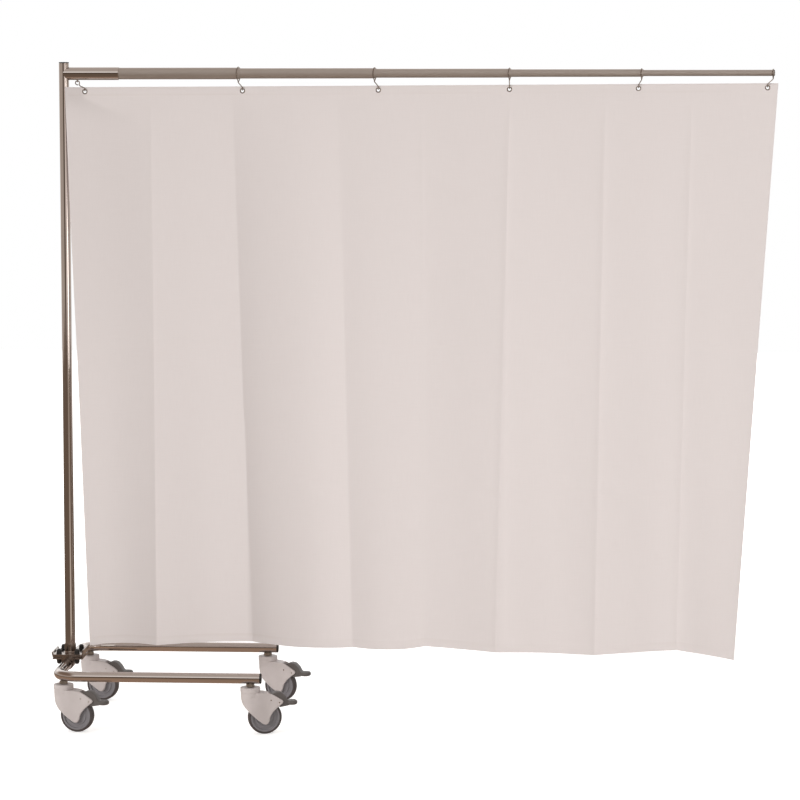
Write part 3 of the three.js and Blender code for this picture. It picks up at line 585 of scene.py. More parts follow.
saddle_roof = arc_points((0, BASE_HEIGHT), SADDLE_INNER, 144, 36, 15)
upper_outline = np.vstack([
    [(-CLAMP_HALF, PLATE_FOOT), (-TUBE_RADIUS, PLATE_FOOT), (-TUBE_RADIUS, 174)], saddle_roof,
    [(TUBE_RADIUS, 174), (TUBE_RADIUS, PLATE_FOOT), (CLAMP_HALF, PLATE_FOOT),
     (48.5, 207), (45, 207), (42.8, PLATE_TOP), (-42.8, PLATE_TOP), (-45.6, 200), (-48.5, 200)],
])
piece("clamp_upper_half", plate(softened(upper_outline, 1.3, 5), CLAMP_REACH, 0.6),
      pressed_chrome, "chrome", "frame", "clamp_upper")

socket_outer = SADDLE_INNER + 1.9
weld = arc_points((socket_outer + 4, PLATE_TOP + 4), 4, 270, 180, 7)
socket_profile = np.vstack([
    [(SADDLE_INNER, PLATE_TOP - 5), (socket_outer + 4, PLATE_TOP - 5)], weld,
    [(socket_outer, PLATE_TOP + 24.6), (socket_outer - 1.4, PLATE_TOP + 26),
     (SADDLE_INNER + 0.3, PLATE_TOP + 26), (SADDLE_INNER, PLATE_TOP + 25.6)],
])
piece("post_socket", turned(socket_profile, "z", 64),
      pressed_chrome, "chrome", "frame", "clamp_upper")

lower_outline = np.vstack([
    [(CLAMP_HALF, EAR_TOP), (SADDLE_INNER, EAR_TOP)],
    arc_points((0, BASE_HEIGHT), SADDLE_INNER, 0, -180, 33),
    [(-SADDLE_INNER, EAR_TOP), (-CLAMP_HALF, EAR_TOP), (-CLAMP_HALF, EAR_FOOT),
     (-SADDLE_OUTER, EAR_FOOT)],
    arc_points((0, BASE_HEIGHT), SADDLE_OUTER, 180, 360, 33),
    [(SADDLE_OUTER, EAR_FOOT), (CLAMP_HALF, EAR_FOOT)],
])
piece("clamp_lower_half", plate(lower_outline, CLAMP_REACH, 0.8),
      pressed_chrome, "chrome", "frame", "clamp_lower")

cover_foot = PLATE_TOP + JOINT_GAP
cover_low = EAR_FOOT - JOINT_GAP
cover = np.array([(8.5, 0), (8.5, 2.2), (7.6, 3), (7.4, 8.5), (6.4, 12.5), (3.6, 15), (0, 15)])
bolt_profile = np.vstack([
    (cover * [1, -1])[::-1] + [0, cover_low], [(4, cover_low), (4, cover_foot)],
    cover + [0, cover_foot],
])
for number, (sx, sy) in enumerate([(-1, -1), (-1, 1), (1, -1), (1, 1)], 1):
    place = (sx * BOLT_ACROSS / 2, sy * BOLT_ALONG / 2, 0)
    piece(f"clamp_bolt_covers_{number}", turned(solid_profile(bolt_profile, 0.8, 4), "z", 32, place),
          black_cap, "black_plastic", "frame", f"clamp_bolt_{number}")


# Post

# A straight length of the same chromed tube, pressed into the socket. A shallow black
# moulded cap closes its top, and leaves a fine line round the tube.

POST_FOOT = PLATE_FOOT + 2.3
POST_TOP = 1961.0
POST_CAP = 3.0
tube_top = POST_TOP - POST_CAP - JOINT_GAP
heights = np.linspace(POST_FOOT, tube_top, 20)[1:-1]
post_profile = np.vstack([
    [(0, POST_FOOT), (TUBE_RADIUS, POST_FOOT)],
    np.stack([np.full_like(heights, TUBE_RADIUS), heights], 1),
    [(TUBE_RADIUS, tube_top - 0.3), (TUBE_RADIUS - 0.3, tube_top), (0, tube_top)],
])
piece("chromed_post", turned(post_profile, "z", 64), chrome, "chrome", "frame", "post_tube")
cap_profile = solid_profile([
    (0, tube_top), (TUBE_RADIUS - 2, tube_top), (TUBE_RADIUS - 2, tube_top + JOINT_GAP),
    (TUBE_RADIUS, tube_top + JOINT_GAP), (TUBE_RADIUS, POST_TOP - 0.5),
    (TUBE_RADIUS - 5, POST_TOP), (0, POST_TOP),
], 1.2)
piece("post_top_cap", turned(cap_profile, "z", 64), black_cap, "black_plastic", "frame", "post_cap")


# Sleeve

# A chromed tube across the post, mitred to a saddle that reaches round it and brazed on.
# It holds the rail's outer stage. A wire staple brazed under it carries the first hook.

SLEEVE_RADIUS = 19.0
SLEEVE_WALL = 1.5
SLEEVE_REACH = 164.0
SLEEVE_TIP = 4.0
STAPLE_PLACE = 40.0
WIRE_RADIUS = 1.5


def saddle_tube(radius, share, sides=96):
    """A tube along x whose left end follows the mitre: the larger of the V's line, which grows
    with height, and the post's own round, where the tube would meet it."""
    angle = np.linspace(0, 2 * np.pi, sides, endpoint=False)[None, :]
    y, z = radius * np.cos(angle), radius * np.sin(angle)
    mitre = np.maximum(np.abs(z) - SLEEVE_TIP,
                       np.sqrt(np.maximum((TUBE_RADIUS + JOINT_GAP) ** 2 - y ** 2, 0)))
    x = mitre + (SLEEVE_REACH - mitre) * share[:, None]
    return np.stack([x, y + 0 * x, z + RAIL_HEIGHT + 0 * x], -1)


share = np.concatenate([[0, 0.004], np.linspace(0.03, 1, 14)])
outer = saddle_tube(SLEEVE_RADIUS, share)
inner = saddle_tube(SLEEVE_RADIUS - SLEEVE_WALL, share)
lip = (outer[-1:] + inner[-1:]) / 2
lip[..., 0] = SLEEVE_REACH
outer[-1, :, 0] -= 0.4
sleeve_grid = np.concatenate([outer, lip, inner[::-1]])
piece("rail_sleeve", skin(sleeve_grid, along=True), chrome, "chrome", "frame", "arm_sleeve")

staple_foot = RAIL_HEIGHT - SLEEVE_RADIUS - 5.5
staple_leg = np.array([(-5, staple_foot + 6.4), (-5, staple_foot + 5)])
staple_bend = arc_points((0, staple_foot + 5), 5, 180, 360, 15)[1:-1]
staple = np.vstack([staple_leg, staple_bend, (staple_leg * [-1, 1])[::-1]])
staple = np.column_stack([np.full(len(staple), STAPLE_PLACE), staple])
piece("sleeve_staple", swept(staple, WIRE_RADIUS, (1, 0, 0), 16), chrome, "chrome", "frame", "arm_sleeve")


# Rail

# Five drawn and anodised aluminium tubes, 34 to 18 mm, each sliding in the one before it:
# the mouth of each is necked to the next, whose tail is flared. A grey plug ends the last.

STAGE_RADII = [17.0, 15.0, 13.0, 11.0, 9.0]
STAGE_MOUTHS = [524.0, 927.0, 1324.0, 1711.0, 2094.0]
STAGE_WALL = 1.0
STAGE_START = 26.0
NECK_LENGTH = 60.0
FLARE_LENGTH = 10.0
END_PLUG = 2.0


def drawn_aluminium():
    """Satin anodised tube: fine die lines that run along x, in tone, gloss and height."""
    made, tree, shader, place = material("satin_anodised_aluminium", {"Metallic": 1.0})
    # Die lines are about 0.4 mm wide and run for half a metre
    along = node(tree, "Mapping", {"Scale": (2.0, 1 / (0.8 * MM), 1 / (0.8 * MM)), "Vector": place})
    lines = noise(tree, along, 1.0, 4.0)
    tone = mix(tree, lines, "#dad2cc", "#c8bfb8")
    haze = band(tree, lines, 0.0, 1.0, 0.6, 0.74, "LINEAR")
    bump = node(tree, "Bump", {"Strength": 0.3, "Distance": 0.02 * MM, "Height": lines})
    feed(tree, shader, tone, bump, haze)
    return made


aluminium = drawn_aluminium()
for stage, (radius, mouth) in enumerate(zip(STAGE_RADII, STAGE_MOUTHS)):
    last = stage == len(STAGE_RADII) - 1
    bore = radius - STAGE_WALL
    end = mouth - END_PLUG - JOINT_GAP if last else mouth
    if stage == 0:
        start, profile = STAGE_START, [(bore, STAGE_START), (radius, STAGE_START)]
    else:
        start = STAGE_MOUTHS[stage - 1] - NECK_LENGTH - JOINT_GAP - FLARE_LENGTH
        flare = STAGE_RADII[stage - 1] - STAGE_WALL - JOINT_GAP
        profile = [(bore, start), (flare, start), (flare, start + FLARE_LENGTH),
                   (radius, start + FLARE_LENGTH)]
    profile += [(radius, place) for place in np.linspace(start + 20, end - 8, 12)]
    if last:
        profile += [(radius, end - 0.2), (radius - 0.2, end), (bore, end)]
    else:
        neck = STAGE_RADII[stage + 1] + JOINT_GAP
        profile += [(radius, end - 0.7), (radius - 0.25, end - 0.2), (radius - 0.8, end),
                    (neck + 0.2, end), (neck, end - 0.3), (neck, end - NECK_LENGTH),
                    (bore, end - NECK_LENGTH)]
    body = "frame" if stage == 0 else f"stage_{stage + 1}"
    piece(f"drawn_rail_stage_{stage + 1}", turned(profile, "x", 56, (0, 0, RAIL_HEIGHT)),
          aluminium, "satin_aluminium", body, f"rail_tube_{stage + 1}")

# Moulded polyethylene end plug, pale grey with a soft sheen
plug_grey = moulded("moulded_grey_polyethylene", "#8e8b87", "#807d7a", 0.5, 0.8, 0.02)
rail_end, plug_radius = STAGE_MOUTHS[-1], STAGE_RADII[-1]
end_plug = solid_profile([
    (0, rail_end - 14), (6, rail_end - 14), (6, rail_end - END_PLUG), (plug_radius, rail_end - END_PLUG),
    (plug_radius, rail_end - 0.7), (plug_radius - 3, rail_end), (0, rail_end),
], 0.8)
piece("rail_end_plug_cap", turned(end_plug, "x", 40, (0, 0, RAIL_HEIGHT)),
      plug_grey, "grey_plastic", "stage_5", "rail_end_plug")


# Hooks

# Spring-steel wire, nickel plated: a ring sprung round each stage near its mouth, a waist,
# a shank, and a J through the eyelet. The first is a small eye hung in the staple.

EYELET_PLACES = [62.0, 531.0, 933.0, 1319.0, 1697.0, 2073.0]
HOOK_SHANK = 34.0
EYELET_HOLE = 4.5
HOOK_BEND = 5.0
HOOK_TURN = np.radians(11)
EYE_RADIUS = 6.0

# Nickel-plated spring wire: darker and warmer than chrome, with drawing marks
spring_wire = polished("nickel_plated_spring_wire", "#a99d94", "#93887f", 0.14, 0.3, 3)


def through(points, samples):
    """A smooth line through points: the centripetal Catmull-Rom curve, whose knots are spaced by
    the root of each chord, sampled alike in each span."""
    points = np.asarray(points, float)
    full = np.vstack([2 * points[0] - points[1], points, 2 * points[-1] - points[-2]])
    knots = np.append(0, np.cumsum(np.sqrt(np.linalg.norm(np.diff(full, axis=0), axis=1))))
    spans = np.arange(1, len(full) - 2)
    share = np.linspace(0, 1, samples, endpoint=False)
    t = (knots[spans, None] + (knots[spans + 1] - knots[spans])[:, None] * share)[..., None]
    k = [knots[spans + i][:, None, None] for i in (-1, 0, 1, 2)]
    p = [full[spans + i][:, None, :] for i in (-1, 0, 1, 2)]
    first = [((k[i + 1] - t) * p[i] + (t - k[i]) * p[i + 1]) / (k[i + 1] - k[i]) for i in range(3)]
    second = [((k[i + 2] - t) * first[i] + (t - k[i]) * first[i + 1]) / (k[i + 2] - k[i]) for i in range(2)]
    curve = ((k[2] - t) * second[0] + (t - k[1]) * second[1]) / (k[2] - k[1])
    return np.vstack([curve.reshape(-1, points.shape[1]), points[-1]])


def eyelet_height(number):
    """An eyelet hangs one shank under the tube that carries its hook."""
    carrier = SLEEVE_RADIUS if number == 0 else STAGE_RADII[number - 1]
    return RAIL_HEIGHT - carrier - HOOK_SHANK


def j_points(x, z):
    """The J in the eyelet: down in front, under, and up behind, just clear of the hole's top."""
    foot = z + EYELET_HOLE - WIRE_RADIUS - 1.2
    bend = arc_points((0, foot + HOOK_BEND), HOOK_BEND, 190, 350, 7)
    line = np.vstack([[-HOOK_BEND, foot + HOOK_BEND + 3], bend, [HOOK_BEND, foot + HOOK_BEND + 1.5]])
    return np.column_stack([np.full(len(line), x), line])


for number, place in enumerate(EYELET_PLACES):
    hook_foot = j_points(place, eyelet_height(number))
    if number == 0:
        eye_centre = np.array([STAPLE_PLACE, staple_foot + 2 * WIRE_RADIUS + JOINT_GAP - EYE_RADIUS])
        lean = np.degrees(np.arctan2(eyelet_height(0) - eye_centre[1], place - STAPLE_PLACE))
        eye = arc_points(eye_centre, EYE_RADIUS, lean + 340, lean + 35, 12)
        neck = arc_points(eye_centre, 10.2, lean, lean, 1)
        eye = np.vstack([eye, neck])
        depth = np.append(np.zeros(len(eye) - 1), -WIRE_RADIUS)
        top = np.column_stack([eye[:, 0], depth, eye[:, 1]])
        up = (0.7, 0.7, 0.1)
    else:
        radius = STAGE_RADII[number - 1]
        ring = radius / np.cos(HOOK_TURN) + JOINT_GAP + WIRE_RADIUS + 0.5
        ring_height = RAIL_HEIGHT + radius + JOINT_GAP + WIRE_RADIUS - ring
        waist = ring_height - ring - 4
        side = WIRE_RADIUS + JOINT_GAP
        loop = np.vstack([
            [side, waist], arc_points((0, ring_height), ring, -42, 222, 17), [-side, waist],
            [-side - JOINT_GAP, waist - WIRE_RADIUS],
        ])
        centre = STAGE_MOUTHS[number - 1] - 5
        top = np.column_stack([
            centre + loop[:, 0] * np.sin(HOOK_TURN), loop[:, 0] * np.cos(HOOK_TURN), loop[:, 1],
        ])
        up = (np.cos(HOOK_TURN / 2), -np.sin(HOOK_TURN / 2), 0.05)
    line = through(np.vstack([top, hook_foot]), 6)
    body = "frame" if number < 2 else f"stage_{number}"
    piece(f"wire_hook_{number + 1}", swept(line, WIRE_RADIUS, up, 14, WIRE_RADIUS * 0.6),
          spring_wire, "hook_wire", body, f"hook_{number + 1}")


# Eyelets

# Nickel-plated brass eyelets set in the curtain's top hem: a barrel through the cloth, rolled
# over into a flange on each face.

CLOTH_THICKNESS = 1.2
FLANGE_RADIUS = 8.0
eyelet_face = CLOTH_THICKNESS / 2 + JOINT_GAP
# Nickel over brass is darker and warmer than zinc, and tumbled to an even, soft gloss
eyelet_nickel = polished("nickel_plated_brass_eyelet", "#b3a89f", "#a1968d", 0.18, 0.34, 4)
rolled = [
    (EYELET_HOLE, eyelet_face * 0.5), (4.6, eyelet_face + 0.35), (5.3, eyelet_face + 0.8),
    (6.6, eyelet_face + 0.78), (7.6, eyelet_face + 0.45), (FLANGE_RADIUS, eyelet_face + 0.05),
    (7.7, eyelet_face - 0.1), (6.0, eyelet_face - 0.1),
]
eyelet_profile = np.array(rolled + [(r, -y) for r, y in rolled[::-1]])
for number, place in enumerate(EYELET_PLACES):
    body = "frame" if number < 2 else f"stage_{number}"
    piece(f"pressed_eyelet_{number + 1}",
          turned(softened(eyelet_profile, 0.4, 3), "y", 48, (place, 0, eyelet_height(number))),
          eyelet_nickel, "zinc_steel", body, f"eyelet_{number + 1}", crease=60)


# Curtain

# One sheet of plain-woven polyester cotton with sewn hems. It was kept folded, so seven
# pressed creases run down it. It hangs in five panels, which close up with the rail.

CLOTH_LEFT = 5.0
CLOTH_RIGHT = 2104.0
CREASE_TOPS = [257.0, 501.0, 815.0, 1060.0, 1321.0, 1600.0, 1853.0]
CREASE_FEET = [259.0, 552.0, 853.0, 1072.0, 1282.0, 1577.0, 1821.0]
CLOTH_FOOT_LEFT = 60.0
CLOTH_FOOT_RIGHT = 1993.0
EYELET_INSET = 13.0
HEM_HEIGHT = 212.0
HEM_WAVE = 16.0
FOLD_DEPTH = 32.0
FOLD_START = 18.0
FOLD_GROWTH = 0.5
EDGE_LIFT = 17.0
EDGE_LIFT_END = 50.0
EDGE_LIFT_SPREAD = 170.0
CREASE_SINK = 1.5
CREASE_FLANK = 10.0
HEM_DEPTH = 26.0
SIDE_HEM = 12.0
CREASE_DEPTH_SHARES = [-0.18, 0.58, 0.0, 0.6, 0.05, 0.09, -0.63, -0.64, -0.18]
PLEAT_BOW_SHARES = [-0.34, 0.11, 1.12, 0.33, -0.04, -0.21, 0.01, -0.06]
HEM_WAVE_SHARES = [0.0, -0.05, 1.1, 0.0, 0.5, -0.57, -0.65, 0.53, -1.44]
HEM_BOW_SHARES = [0.65, 0.2, -1.0, -0.67, 0.1, 0.28, 0.07, 0.1]
CREASE_SINK_SHARES = [0.5, 0.0, 0.4, 1.0, 1.2, 1.4, 1.1]
CROSS_CREASES = [1126.0, 687.0]
HANG = RAIL_HEIGHT - HEM_HEIGHT
HOLE_HALF = 5.0

crease_tops = np.array([CLOTH_LEFT, *CREASE_TOPS, CLOTH_RIGHT])
crease_feet = np.array([CLOTH_FOOT_LEFT, *CREASE_FEET, CLOTH_FOOT_RIGHT])
SEAMS = [CLOTH_LEFT, *EYELET_PLACES[1:-1], CLOTH_RIGHT]


def smooth_step(value, low, high):
    """Zero below low and one above high, with a cubic ease between."""
    share = np.clip((value - low) / (high - low), 0, 1)
    return share ** 2 * (3 - 2 * share)


def cloth_surface(x, drop):
    """Where the cloth hangs: each crease line carries a depth and each pleat a parabolic bow
    between two of them, both growing with the root of the distance under the rail. The hem's
    height goes from crease to crease in the same way."""
    creases = crease_tops + (crease_feet - crease_tops) * drop[..., None]
    index = (x[..., None] >= creases[..., 1:-1]).sum(-1)
    left = np.take_along_axis(creases, index[..., None], -1)[..., 0]
    right = np.take_along_axis(creases, index[..., None] + 1, -1)[..., 0]
    share = (x - left) / (right - left)

    def mixed(table):
        table = np.array(table)
        return table[index] + (table[index + 1] - table[index]) * share

    tops = [eyelet_height(number) + EYELET_INSET for number in range(6)]
    top = np.interp(x, EYELET_PLACES, tops)
    arch = 4 * share * (1 - share)
    hem = HEM_HEIGHT + HEM_WAVE * (mixed(HEM_WAVE_SHARES) + np.array(HEM_BOW_SHARES)[index] * arch)
    length = top - hem
    below = np.maximum(drop * length - FOLD_START, 0) / (length - FOLD_START)
    bow = np.array(PLEAT_BOW_SHARES)[index] * arch
    fold = FOLD_DEPTH * below ** FOLD_GROWTH * (mixed(CREASE_DEPTH_SHARES) + bow)
    # The left edge passes in front of the post, which it leaves further down
    lift_end = EDGE_LIFT_END + EDGE_LIFT_SPREAD * smooth_step(drop, 0.012, 0.07)
    lift = EDGE_LIFT * np.clip(1 - (x - creases[..., 0]) / lift_end, 0, 1) ** 1.15
    lift = lift * (1 - smooth_step(drop, 0.2, 0.6))
    # Each pressed crease is a shallow, sharp valley that fades out on both sides
    away = np.abs(x[..., None] - creases[..., 1:-1])
    sink = (CREASE_SINK * np.array(CREASE_SINK_SHARES) * np.exp(-away / CREASE_FLANK)).sum(-1)
    fold = fold + sink * np.minimum(1, below * 12)
    height = top - length * drop
    # Slack between the hooks, the folds of storage across the sheet, and soft waves
    slack = 2.2 * below * np.sin(x / 71 + height / 330) * np.sin(x / 43 - height / 510)
    for level in CROSS_CREASES:
        slack = slack - 1.6 * np.exp(-np.abs(height - level) / 9) * smooth_step(x, 60, 260)
    return fold - lift + slack, height, drop * length, length * (1 - drop)


def panel_columns(number, drop):
    """The panel's grid lines at each row: its seams, which are upright, the creases that run in
    it, and the sides of its eyelet holes, with even steps between that tighten at a crease."""
    creases = crease_tops + (crease_feet - crease_tops) * drop[:, None]
    first, last = number == 0, number == len(SEAMS) - 2
    start = creases[:, 0] if first else np.full(len(drop), SEAMS[number])
    end = creases[:, -1] if last else np.full(len(drop), SEAMS[number + 1])
    margin = 0.3 + 5.0 * (1 - smooth_step(drop * HANG, 20, 60))
    folds = [
        np.clip(creases[:, i], start + margin, end - margin) for i in range(1, len(CREASE_TOPS) + 1)
        if any(SEAMS[number] < line[i] < SEAMS[number + 1] for line in (crease_tops, crease_feet))
    ]
    near = folds[0] if folds else end
    far = folds[-1] if folds else start
    if first:
        slide = creases[:, 0] - CLOTH_LEFT
        lead = [start, start + EDGE_LIFT_END / 2, start + EDGE_LIFT_END,
                EYELET_PLACES[0] - HOLE_HALF + slide, EYELET_PLACES[0] + HOLE_HALF + slide]
    else:
        lead = [start, start + np.minimum(HOLE_HALF, (near - start) * 0.94)]
    if last:
        slide = creases[:, -1] - CLOTH_RIGHT
        tail = [EYELET_PLACES[-1] - HOLE_HALF + slide, EYELET_PLACES[-1] + HOLE_HALF + slide, end]
    else:
        tail = [end - np.minimum(HOLE_HALF, (end - far) * 0.94), end]
    stops = np.stack([*lead, *folds, *tail], 1)
    columns = []
    for i in range(stops.shape[1] - 1):
        parts = max(int(np.ceil((stops[0, i + 1] - stops[0, i]) / 8)), 1)
        share = np.linspace(0, 1, parts, endpoint=False)
        share = 0.45 * share + 0.55 * (1 - np.cos(np.pi * share)) / 2
        columns.append(stops[:, i:i + 1] + (stops[:, i + 1] - stops[:, i])[:, None] * share)
    return np.hstack([*columns, stops[:, -1:]])


def cloth_rows():
    """Rows by distance under the top edge: close at the hems, the holes and the cross creases."""
    even = np.arange(36, HANG - HEM_DEPTH - 6, 9.0)
    crossing = [RAIL_HEIGHT - 40 - level + step for level in CROSS_CREASES for step in (-3, 0, 3)]
    even = even[np.abs(even[:, None] - np.array(crossing)).min(1) > 3]
    foot = HANG - np.array([HEM_DEPTH + 1, HEM_DEPTH - 1, 14, 1.2, 0])
    head = [0, 1.2, EYELET_INSET - HOLE_HALF, EYELET_INSET + HOLE_HALF, HEM_DEPTH - 1, HEM_DEPTH + 1]
    return np.sort(np.concatenate([head, even, crossing, foot])) / HANG


def woven_cloth():
    """Plain weave in an off-white yarn: warp and weft threads cross in a basket of small humps,
    slubs thicken single threads, and a line of stitches runs round inside the hems."""
    made, tree, shader, _ = material("plain_woven_polyester_cotton", {
        "Roughness": 0.9, "IOR": 1.45, "Sheen Weight": 0.12, "Sheen Roughness": 0.5,
    })
    flat = node(tree, "UVMap", {"uv_map": "cut"}).outputs["UV"]
    # Threads are 0.5 mm apart, drawn at 1.6 mm so that they show a step away
    pitch = 1.6 * MM
    axes = node(tree, "SeparateXYZ", {0: flat}).outputs
    waves = [math(tree, "SINE", math(tree, "MULTIPLY", axes[axis], np.pi / pitch)) for axis in "XY"]
    cross = math(tree, "MULTIPLY", *waves)
    # Slubs run 60 mm along a thread and are one thread wide, one way and the other
    slubs = []
    for scale in ((1 / (60 * MM), 1 / (1.8 * MM), 1), (1 / (1.8 * MM), 1 / (60 * MM), 1)):
        line = node(tree, "Mapping", {"Scale": scale, "Vector": flat})
        slubs.append(noise(tree, line, 1.0, 2.0))
    slub = math(tree, "ADD", *slubs)
    spread = band(tree, slub, 0.4, 1.6, ease="LINEAR")
    tone = mix(tree, spread, "#d9d1cf", "#d4ccca")
    # The stitching lies in a groove just inside the folded hem's edge
    hem = node(tree, "Attribute", {"attribute_name": "stitch_line"}).outputs["Fac"]
    stitched = mix(tree, hem, tone, "#cdc3be")
    height = math(tree, "MULTIPLY_ADD", slub, 0.5, cross)
    sunk = math(tree, "MULTIPLY_ADD", hem, -1.2, height)
    bump = node(tree, "Bump", {"Strength": 0.35, "Distance": 0.12 * MM, "Height": sunk})
    feed(tree, shader, stitched, bump)
    return made


def hung_panel(number, finish):
    """Both faces of the panel's grid, half the cloth's thickness before and behind it along y,
    without the cells of the eyelet holes, and a wall along every open edge."""
    rows = cloth_rows()
    x = panel_columns(number, rows)
    drop = np.broadcast_to(rows[:, None], x.shape)
    y, z, under_top, above_hem = cloth_surface(x, drop)
    side = np.full(x.shape, 1e3)
    if number == 0:
        side = x - x[:, :1]
    if number == len(SEAMS) - 2:
        side = x[:, -1:] - x
    edge = np.minimum(np.minimum(under_top, above_hem), side)
    fold = np.maximum(1 - smooth_step(np.minimum(under_top, above_hem), HEM_DEPTH - 1, HEM_DEPTH + 1),
                      1 - smooth_step(side, SIDE_HEM - 1, SIDE_HEM + 1))
    half = (CLOTH_THICKNESS / 2 + 0.3 * fold) * (0.35 + 0.65 * smooth_step(edge, -0.5, 1.2))

    centre_x, centre_z = (x[:-1, :-1] + x[1:, 1:]) / 2, (z[:-1, :-1] + z[1:, 1:]) / 2
    kept = np.ones(centre_x.shape, bool)
    for eyelet, place in enumerate(EYELET_PLACES):
        inside = np.hypot(centre_x - place, centre_z - eyelet_height(eyelet)) < HOLE_HALF * 1.1
        kept &= ~inside
    index = np.arange(x.size).reshape(x.shape)
    corners = [index[:-1, :-1], index[:-1, 1:], index[1:, 1:], index[1:, :-1]]
    front = np.stack(corners, -1)[kept]
    edges = np.stack([front, np.roll(front, -1, 1)], -1).reshape(-1, 2)
    _, which, count = np.unique(np.sort(edges, 1), axis=0, return_index=True, return_counts=True)
    rim = edges[which[count == 1]]
    wall = np.stack([rim[:, 1], rim[:, 0], rim[:, 0] + x.size, rim[:, 1] + x.size], 1)
    faces = np.vstack([front, front[:, ::-1] + x.size, wall])
    points = np.concatenate([np.stack([x, y - half, z], -1).reshape(-1, 3),
                             np.stack([x, y + half, z], -1).reshape(-1, 3)])

    mesh = bpy.data.meshes.new(f"curtain_cloth_{number + 1}")
    used, faces = np.unique(faces, return_inverse=True)
    faces = faces.reshape(-1, 4)
    mesh.from_pydata((ORIGIN + points[used] * MM).tolist(), [], faces.tolist())
    uv = mesh.uv_layers.new(name="cut")
    grid = np.stack([x, -under_top], -1).reshape(-1, 2) * MM
    grid = np.concatenate([grid, grid])[used]
    uv.data.foreach_set("uv", grid[faces.ravel()].ravel())
    line = np.abs(np.minimum(np.minimum(under_top, above_hem) - HEM_DEPTH + 2.5, side - SIDE_HEM + 2))
    stitch = np.clip(1 - line / 1.2, 0, 1).ravel()
    attribute = mesh.attributes.new("stitch_line", "FLOAT", "POINT")
    attribute.data.foreach_set("value", np.concatenate([stitch, stitch])[used].astype(np.float32))
    mesh.shade_smooth()
    mesh.set_sharp_from_angle(angle=np.radians(50))
    made = added(mesh.name, mesh)
    mesh.materials.append(finish)
    return made


cloth = woven_cloth()
panel_bodies = ["frame", "frame", "stage_2", "stage_3", "stage_4"]
for number, body in enumerate(panel_bodies):
    panel = hung_panel(number, cloth)
    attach(panel, body)
    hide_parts(f"curtain_panel_{number + 1}")
    if number:
        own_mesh(panel)


# Studio

# A plain pale floor that runs out to white, soft light from the left front with a weak fill
# from the right, and the camera where the photograph was taken.

FLOOR_HALF = 14.0
floor_mesh = bpy.data.meshes.new("studio_floor")
floor_mesh.from_pydata([(-FLOOR_HALF, -FLOOR_HALF, 0), (FLOOR_HALF, -FLOOR_HALF, 0),
                        (FLOOR_HALF, FLOOR_HALF, 0), (-FLOOR_HALF, FLOOR_HALF, 0)], [], [(0, 1, 2, 3)])
floor = added("studio_floor", floor_mesh)
# Pale matt paint, which runs out to the white background and keeps the shadows. To glossy rays
# only it glows as a painted reflection of brown wood, paler close by, with a painted pool of light
# past the post, and white far behind
floor_paint, tree, shader, place = material("pale_floor", {
    "Roughness": 0.9, "Base Color": linear("#f1f0ee"),
})
path = node(tree, "LightPath").outputs
seen = math(tree, "MAXIMUM", path["Is Camera Ray"], path["Is Transmission Ray"])
span = node(tree, "VectorMath", {"operation": "LENGTH", 0: place})
from_post = node(tree, "VectorMath", {"operation": "SUBTRACT", 0: place, 1: (ORIGIN[0], 0, 0)})
run = node(tree, "VectorMath", {"operation": "LENGTH", 0: from_post})
way = node(tree, "SeparateXYZ", {0: from_post}).outputs
bearing = math(tree, "ARCTAN2", way["X"], math(tree, "MULTIPLY", way["Y"], -1.0))
off = math(tree, "ABSOLUTE", math(tree, "SUBTRACT", bearing, 0.6))
# A painted pool of light in the floor's painted reflection, where light would fall in past the post
painted_light_pool = math(tree, "MULTIPLY", band(tree, off, 0.12, 0.4, 1.0, 0.0),
            band(tree, run, 1.1, 1.5, ease="LINEAR"))
painted_light_pool = math(tree, "MULTIPLY", painted_light_pool, band(tree, run, 1.5, 6.0, 1.0, 0.45, "LINEAR"))
lifted = math(tree, "MULTIPLY", seen, band(tree, span, 1.3, 4.0, 0.5, 1.0))
glow = node(tree, "Emission", {"Color": linear("#ffffff"), "Strength": lifted})
pale = node(tree, "AddShader", {0: shader, 1: glow})
# The painted reflection: a brown wood colour that glows for glossy rays only, so that metal shows it
painted_wood_reflection = mix(tree, band(tree, run, 0.4, 1.4), "#b39a87", "#7d6d60")
painted_wood_reflection = mix(tree, painted_light_pool, painted_wood_reflection, "#f6ebe0")
painted_wood_reflection = mix(tree, band(tree, way["Y"], 3.0, 6.0), painted_wood_reflection, "#ffffff")
painted_reflection_glow = node(tree, "Emission", {"Color": painted_wood_reflection})
both = node(tree, "MixShader", {0: path["Is Glossy Ray"], 1: pale, 2: painted_reflection_glow})
tree.links.new(both.outputs[0], tree.nodes["Material Output"].inputs["Surface"])
floor_mesh.materials.append(floor_paint)

# The room that lights the screen: white paper behind it, and dim warm walls under a pale
# ceiling on the camera's side
world = bpy.data.worlds.new("studio_room")
bpy.context.scene.world = world
world.use_nodes = True
tree = world.node_tree
tree.nodes.clear()
path = node(tree, "LightPath").outputs
toward = node(tree, "SeparateXYZ", {0: node(tree, "TexCoord").outputs["Generated"]}).outputs
walls = mix(tree, band(tree, toward["Z"], 0.72, 0.88), "#7b736d", "#d9d5d2")
room_tone = mix(tree, band(tree, toward["Y"], -0.3, 0.3), walls, "#ffffff")
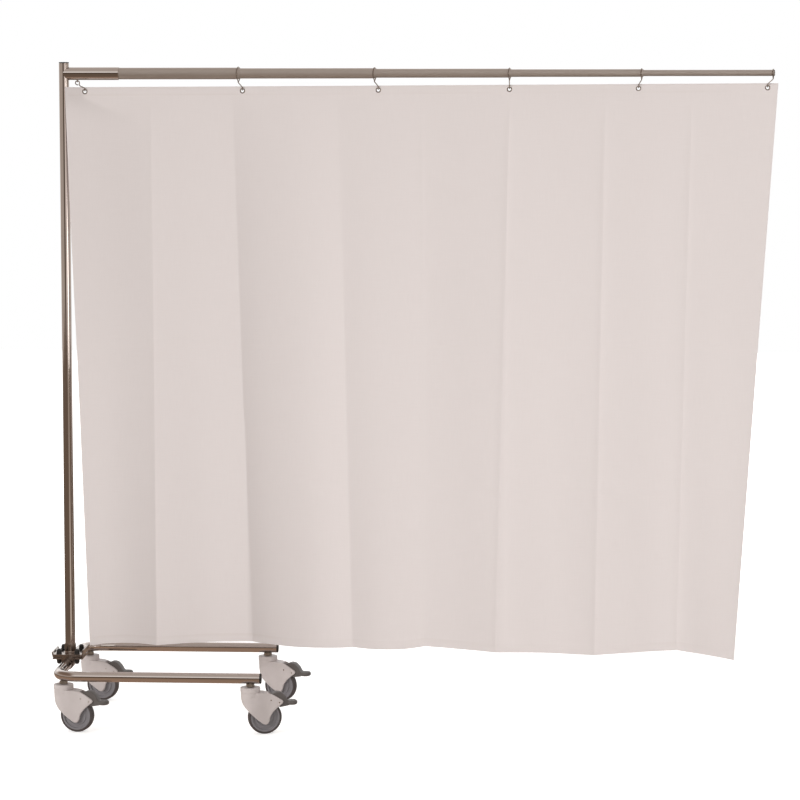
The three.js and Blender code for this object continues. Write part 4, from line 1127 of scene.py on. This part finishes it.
# What metal shows is a painted reflection, seen by glossy rays only: a dark dado, a bright upper
# wall that dims to the ceiling, side walls that are pale below and brown above, a lit opening low
# behind the camera, and the white paper
upper_wall = band(tree, toward["Z"], 0.24, 0.32)
bright = mix(tree, band(tree, toward["Z"], 0.4, 0.85), "#ffffff", "#d4cdc8")
painted_room_reflection = mix(tree, upper_wall, "#665a50", bright)
side_wall = mix(tree, upper_wall, "#cbc2ba", "#8f7c6f")
painted_room_reflection = mix(tree, band(tree, math(tree, "ABSOLUTE", toward["X"]), 0.18, 0.6), painted_room_reflection, side_wall)
aside = math(tree, "ABSOLUTE", math(tree, "SUBTRACT", toward["X"], 0.44))
opening = math(tree, "MULTIPLY", band(tree, aside, 0.2, 0.38, 1.0, 0.0),
               band(tree, toward["Z"], 0.03, 0.1, 1.0, 0.0))
painted_room_reflection = mix(tree, opening, painted_room_reflection, "#fff6f1")
painted_room_reflection = mix(tree, band(tree, toward["Y"], 0.35, 0.8), painted_room_reflection, "#ffffff")
tone = mix(tree, path["Is Glossy Ray"], room_tone, painted_room_reflection)
# A painted highlight: for glossy rays the upper wall is up to half as bright again along its foot,
# which is the fine bright line in the tubes
line = math(tree, "MULTIPLY", band(tree, toward["Z"], 0.34, 0.55, 0.5, 0.0), upper_wall)
line = math(tree, "MULTIPLY_ADD", line, path["Is Glossy Ray"], 1.0)
room = node(tree, "Background", {"Color": tone, "Strength": line})
white = node(tree, "Background", {"Color": linear("#ffffff"), "Strength": 1.0})
seen = math(tree, "MAXIMUM", path["Is Camera Ray"], path["Is Transmission Ray"])
mixed_world = node(tree, "MixShader", {0: seen, 1: room, 2: white})
node(tree, "OutputWorld", {"Surface": mixed_world})


def lamp(name, kind, place, target, power, **settings):
    """A white lamp of a kind that looks at a target and isn't seen itself."""
    light = bpy.data.lights.new(name, kind)
    light.energy = power
    for key, value in settings.items():
        setattr(light, key, value)
    made = added(name, light)
    made.visible_camera = False
    made.location = place
    aim = np.array(target) - np.array(place)
    made.rotation_mode = "QUATERNION"
    made.rotation_quaternion = Vector(aim).to_track_quat("-Z", "Y")
    return made


# A large diffuser far to the left lights the folds from one side, a soft box on the right fills
# them, and a long flat one lights the cloth from the front. Metal shows only the fill
key = lamp("key_through_diffuser", "SUN", (-7.2, -6.2, 4.2), (0, 0, 1.0), 1.75, angle=np.radians(24))
lamp("fill_softbox", "AREA", (3.4, -3.2, 1.3), (0.9, 0, 1.0), 22, size=1.4)
front = lamp("front_softbox", "AREA", (0.2, -3.6, 1.25), (0.2, 0, 1.15), 26,
             shape="RECTANGLE", size=5.0, size_y=0.6)
key.visible_glossy = front.visible_glossy = False

# The camera was fitted to the photograph: its place, its tilt and turn, and its focal length
PHOTO_WIDTH = 800
FOCAL_PIXELS = 2859.5
camera = added("photo_camera", bpy.data.cameras.new("photo_camera"))
camera.data.sensor_width = 36.0
camera.data.lens = FOCAL_PIXELS / PHOTO_WIDTH * camera.data.sensor_width
camera.location = (0.45495, -8.45244, 1.76998)
camera.rotation_euler = (np.pi / 2 - 0.0953, 0.0, 0.0574)
bpy.context.scene.camera = camera
bpy.context.scene.view_settings.view_transform = "Standard"
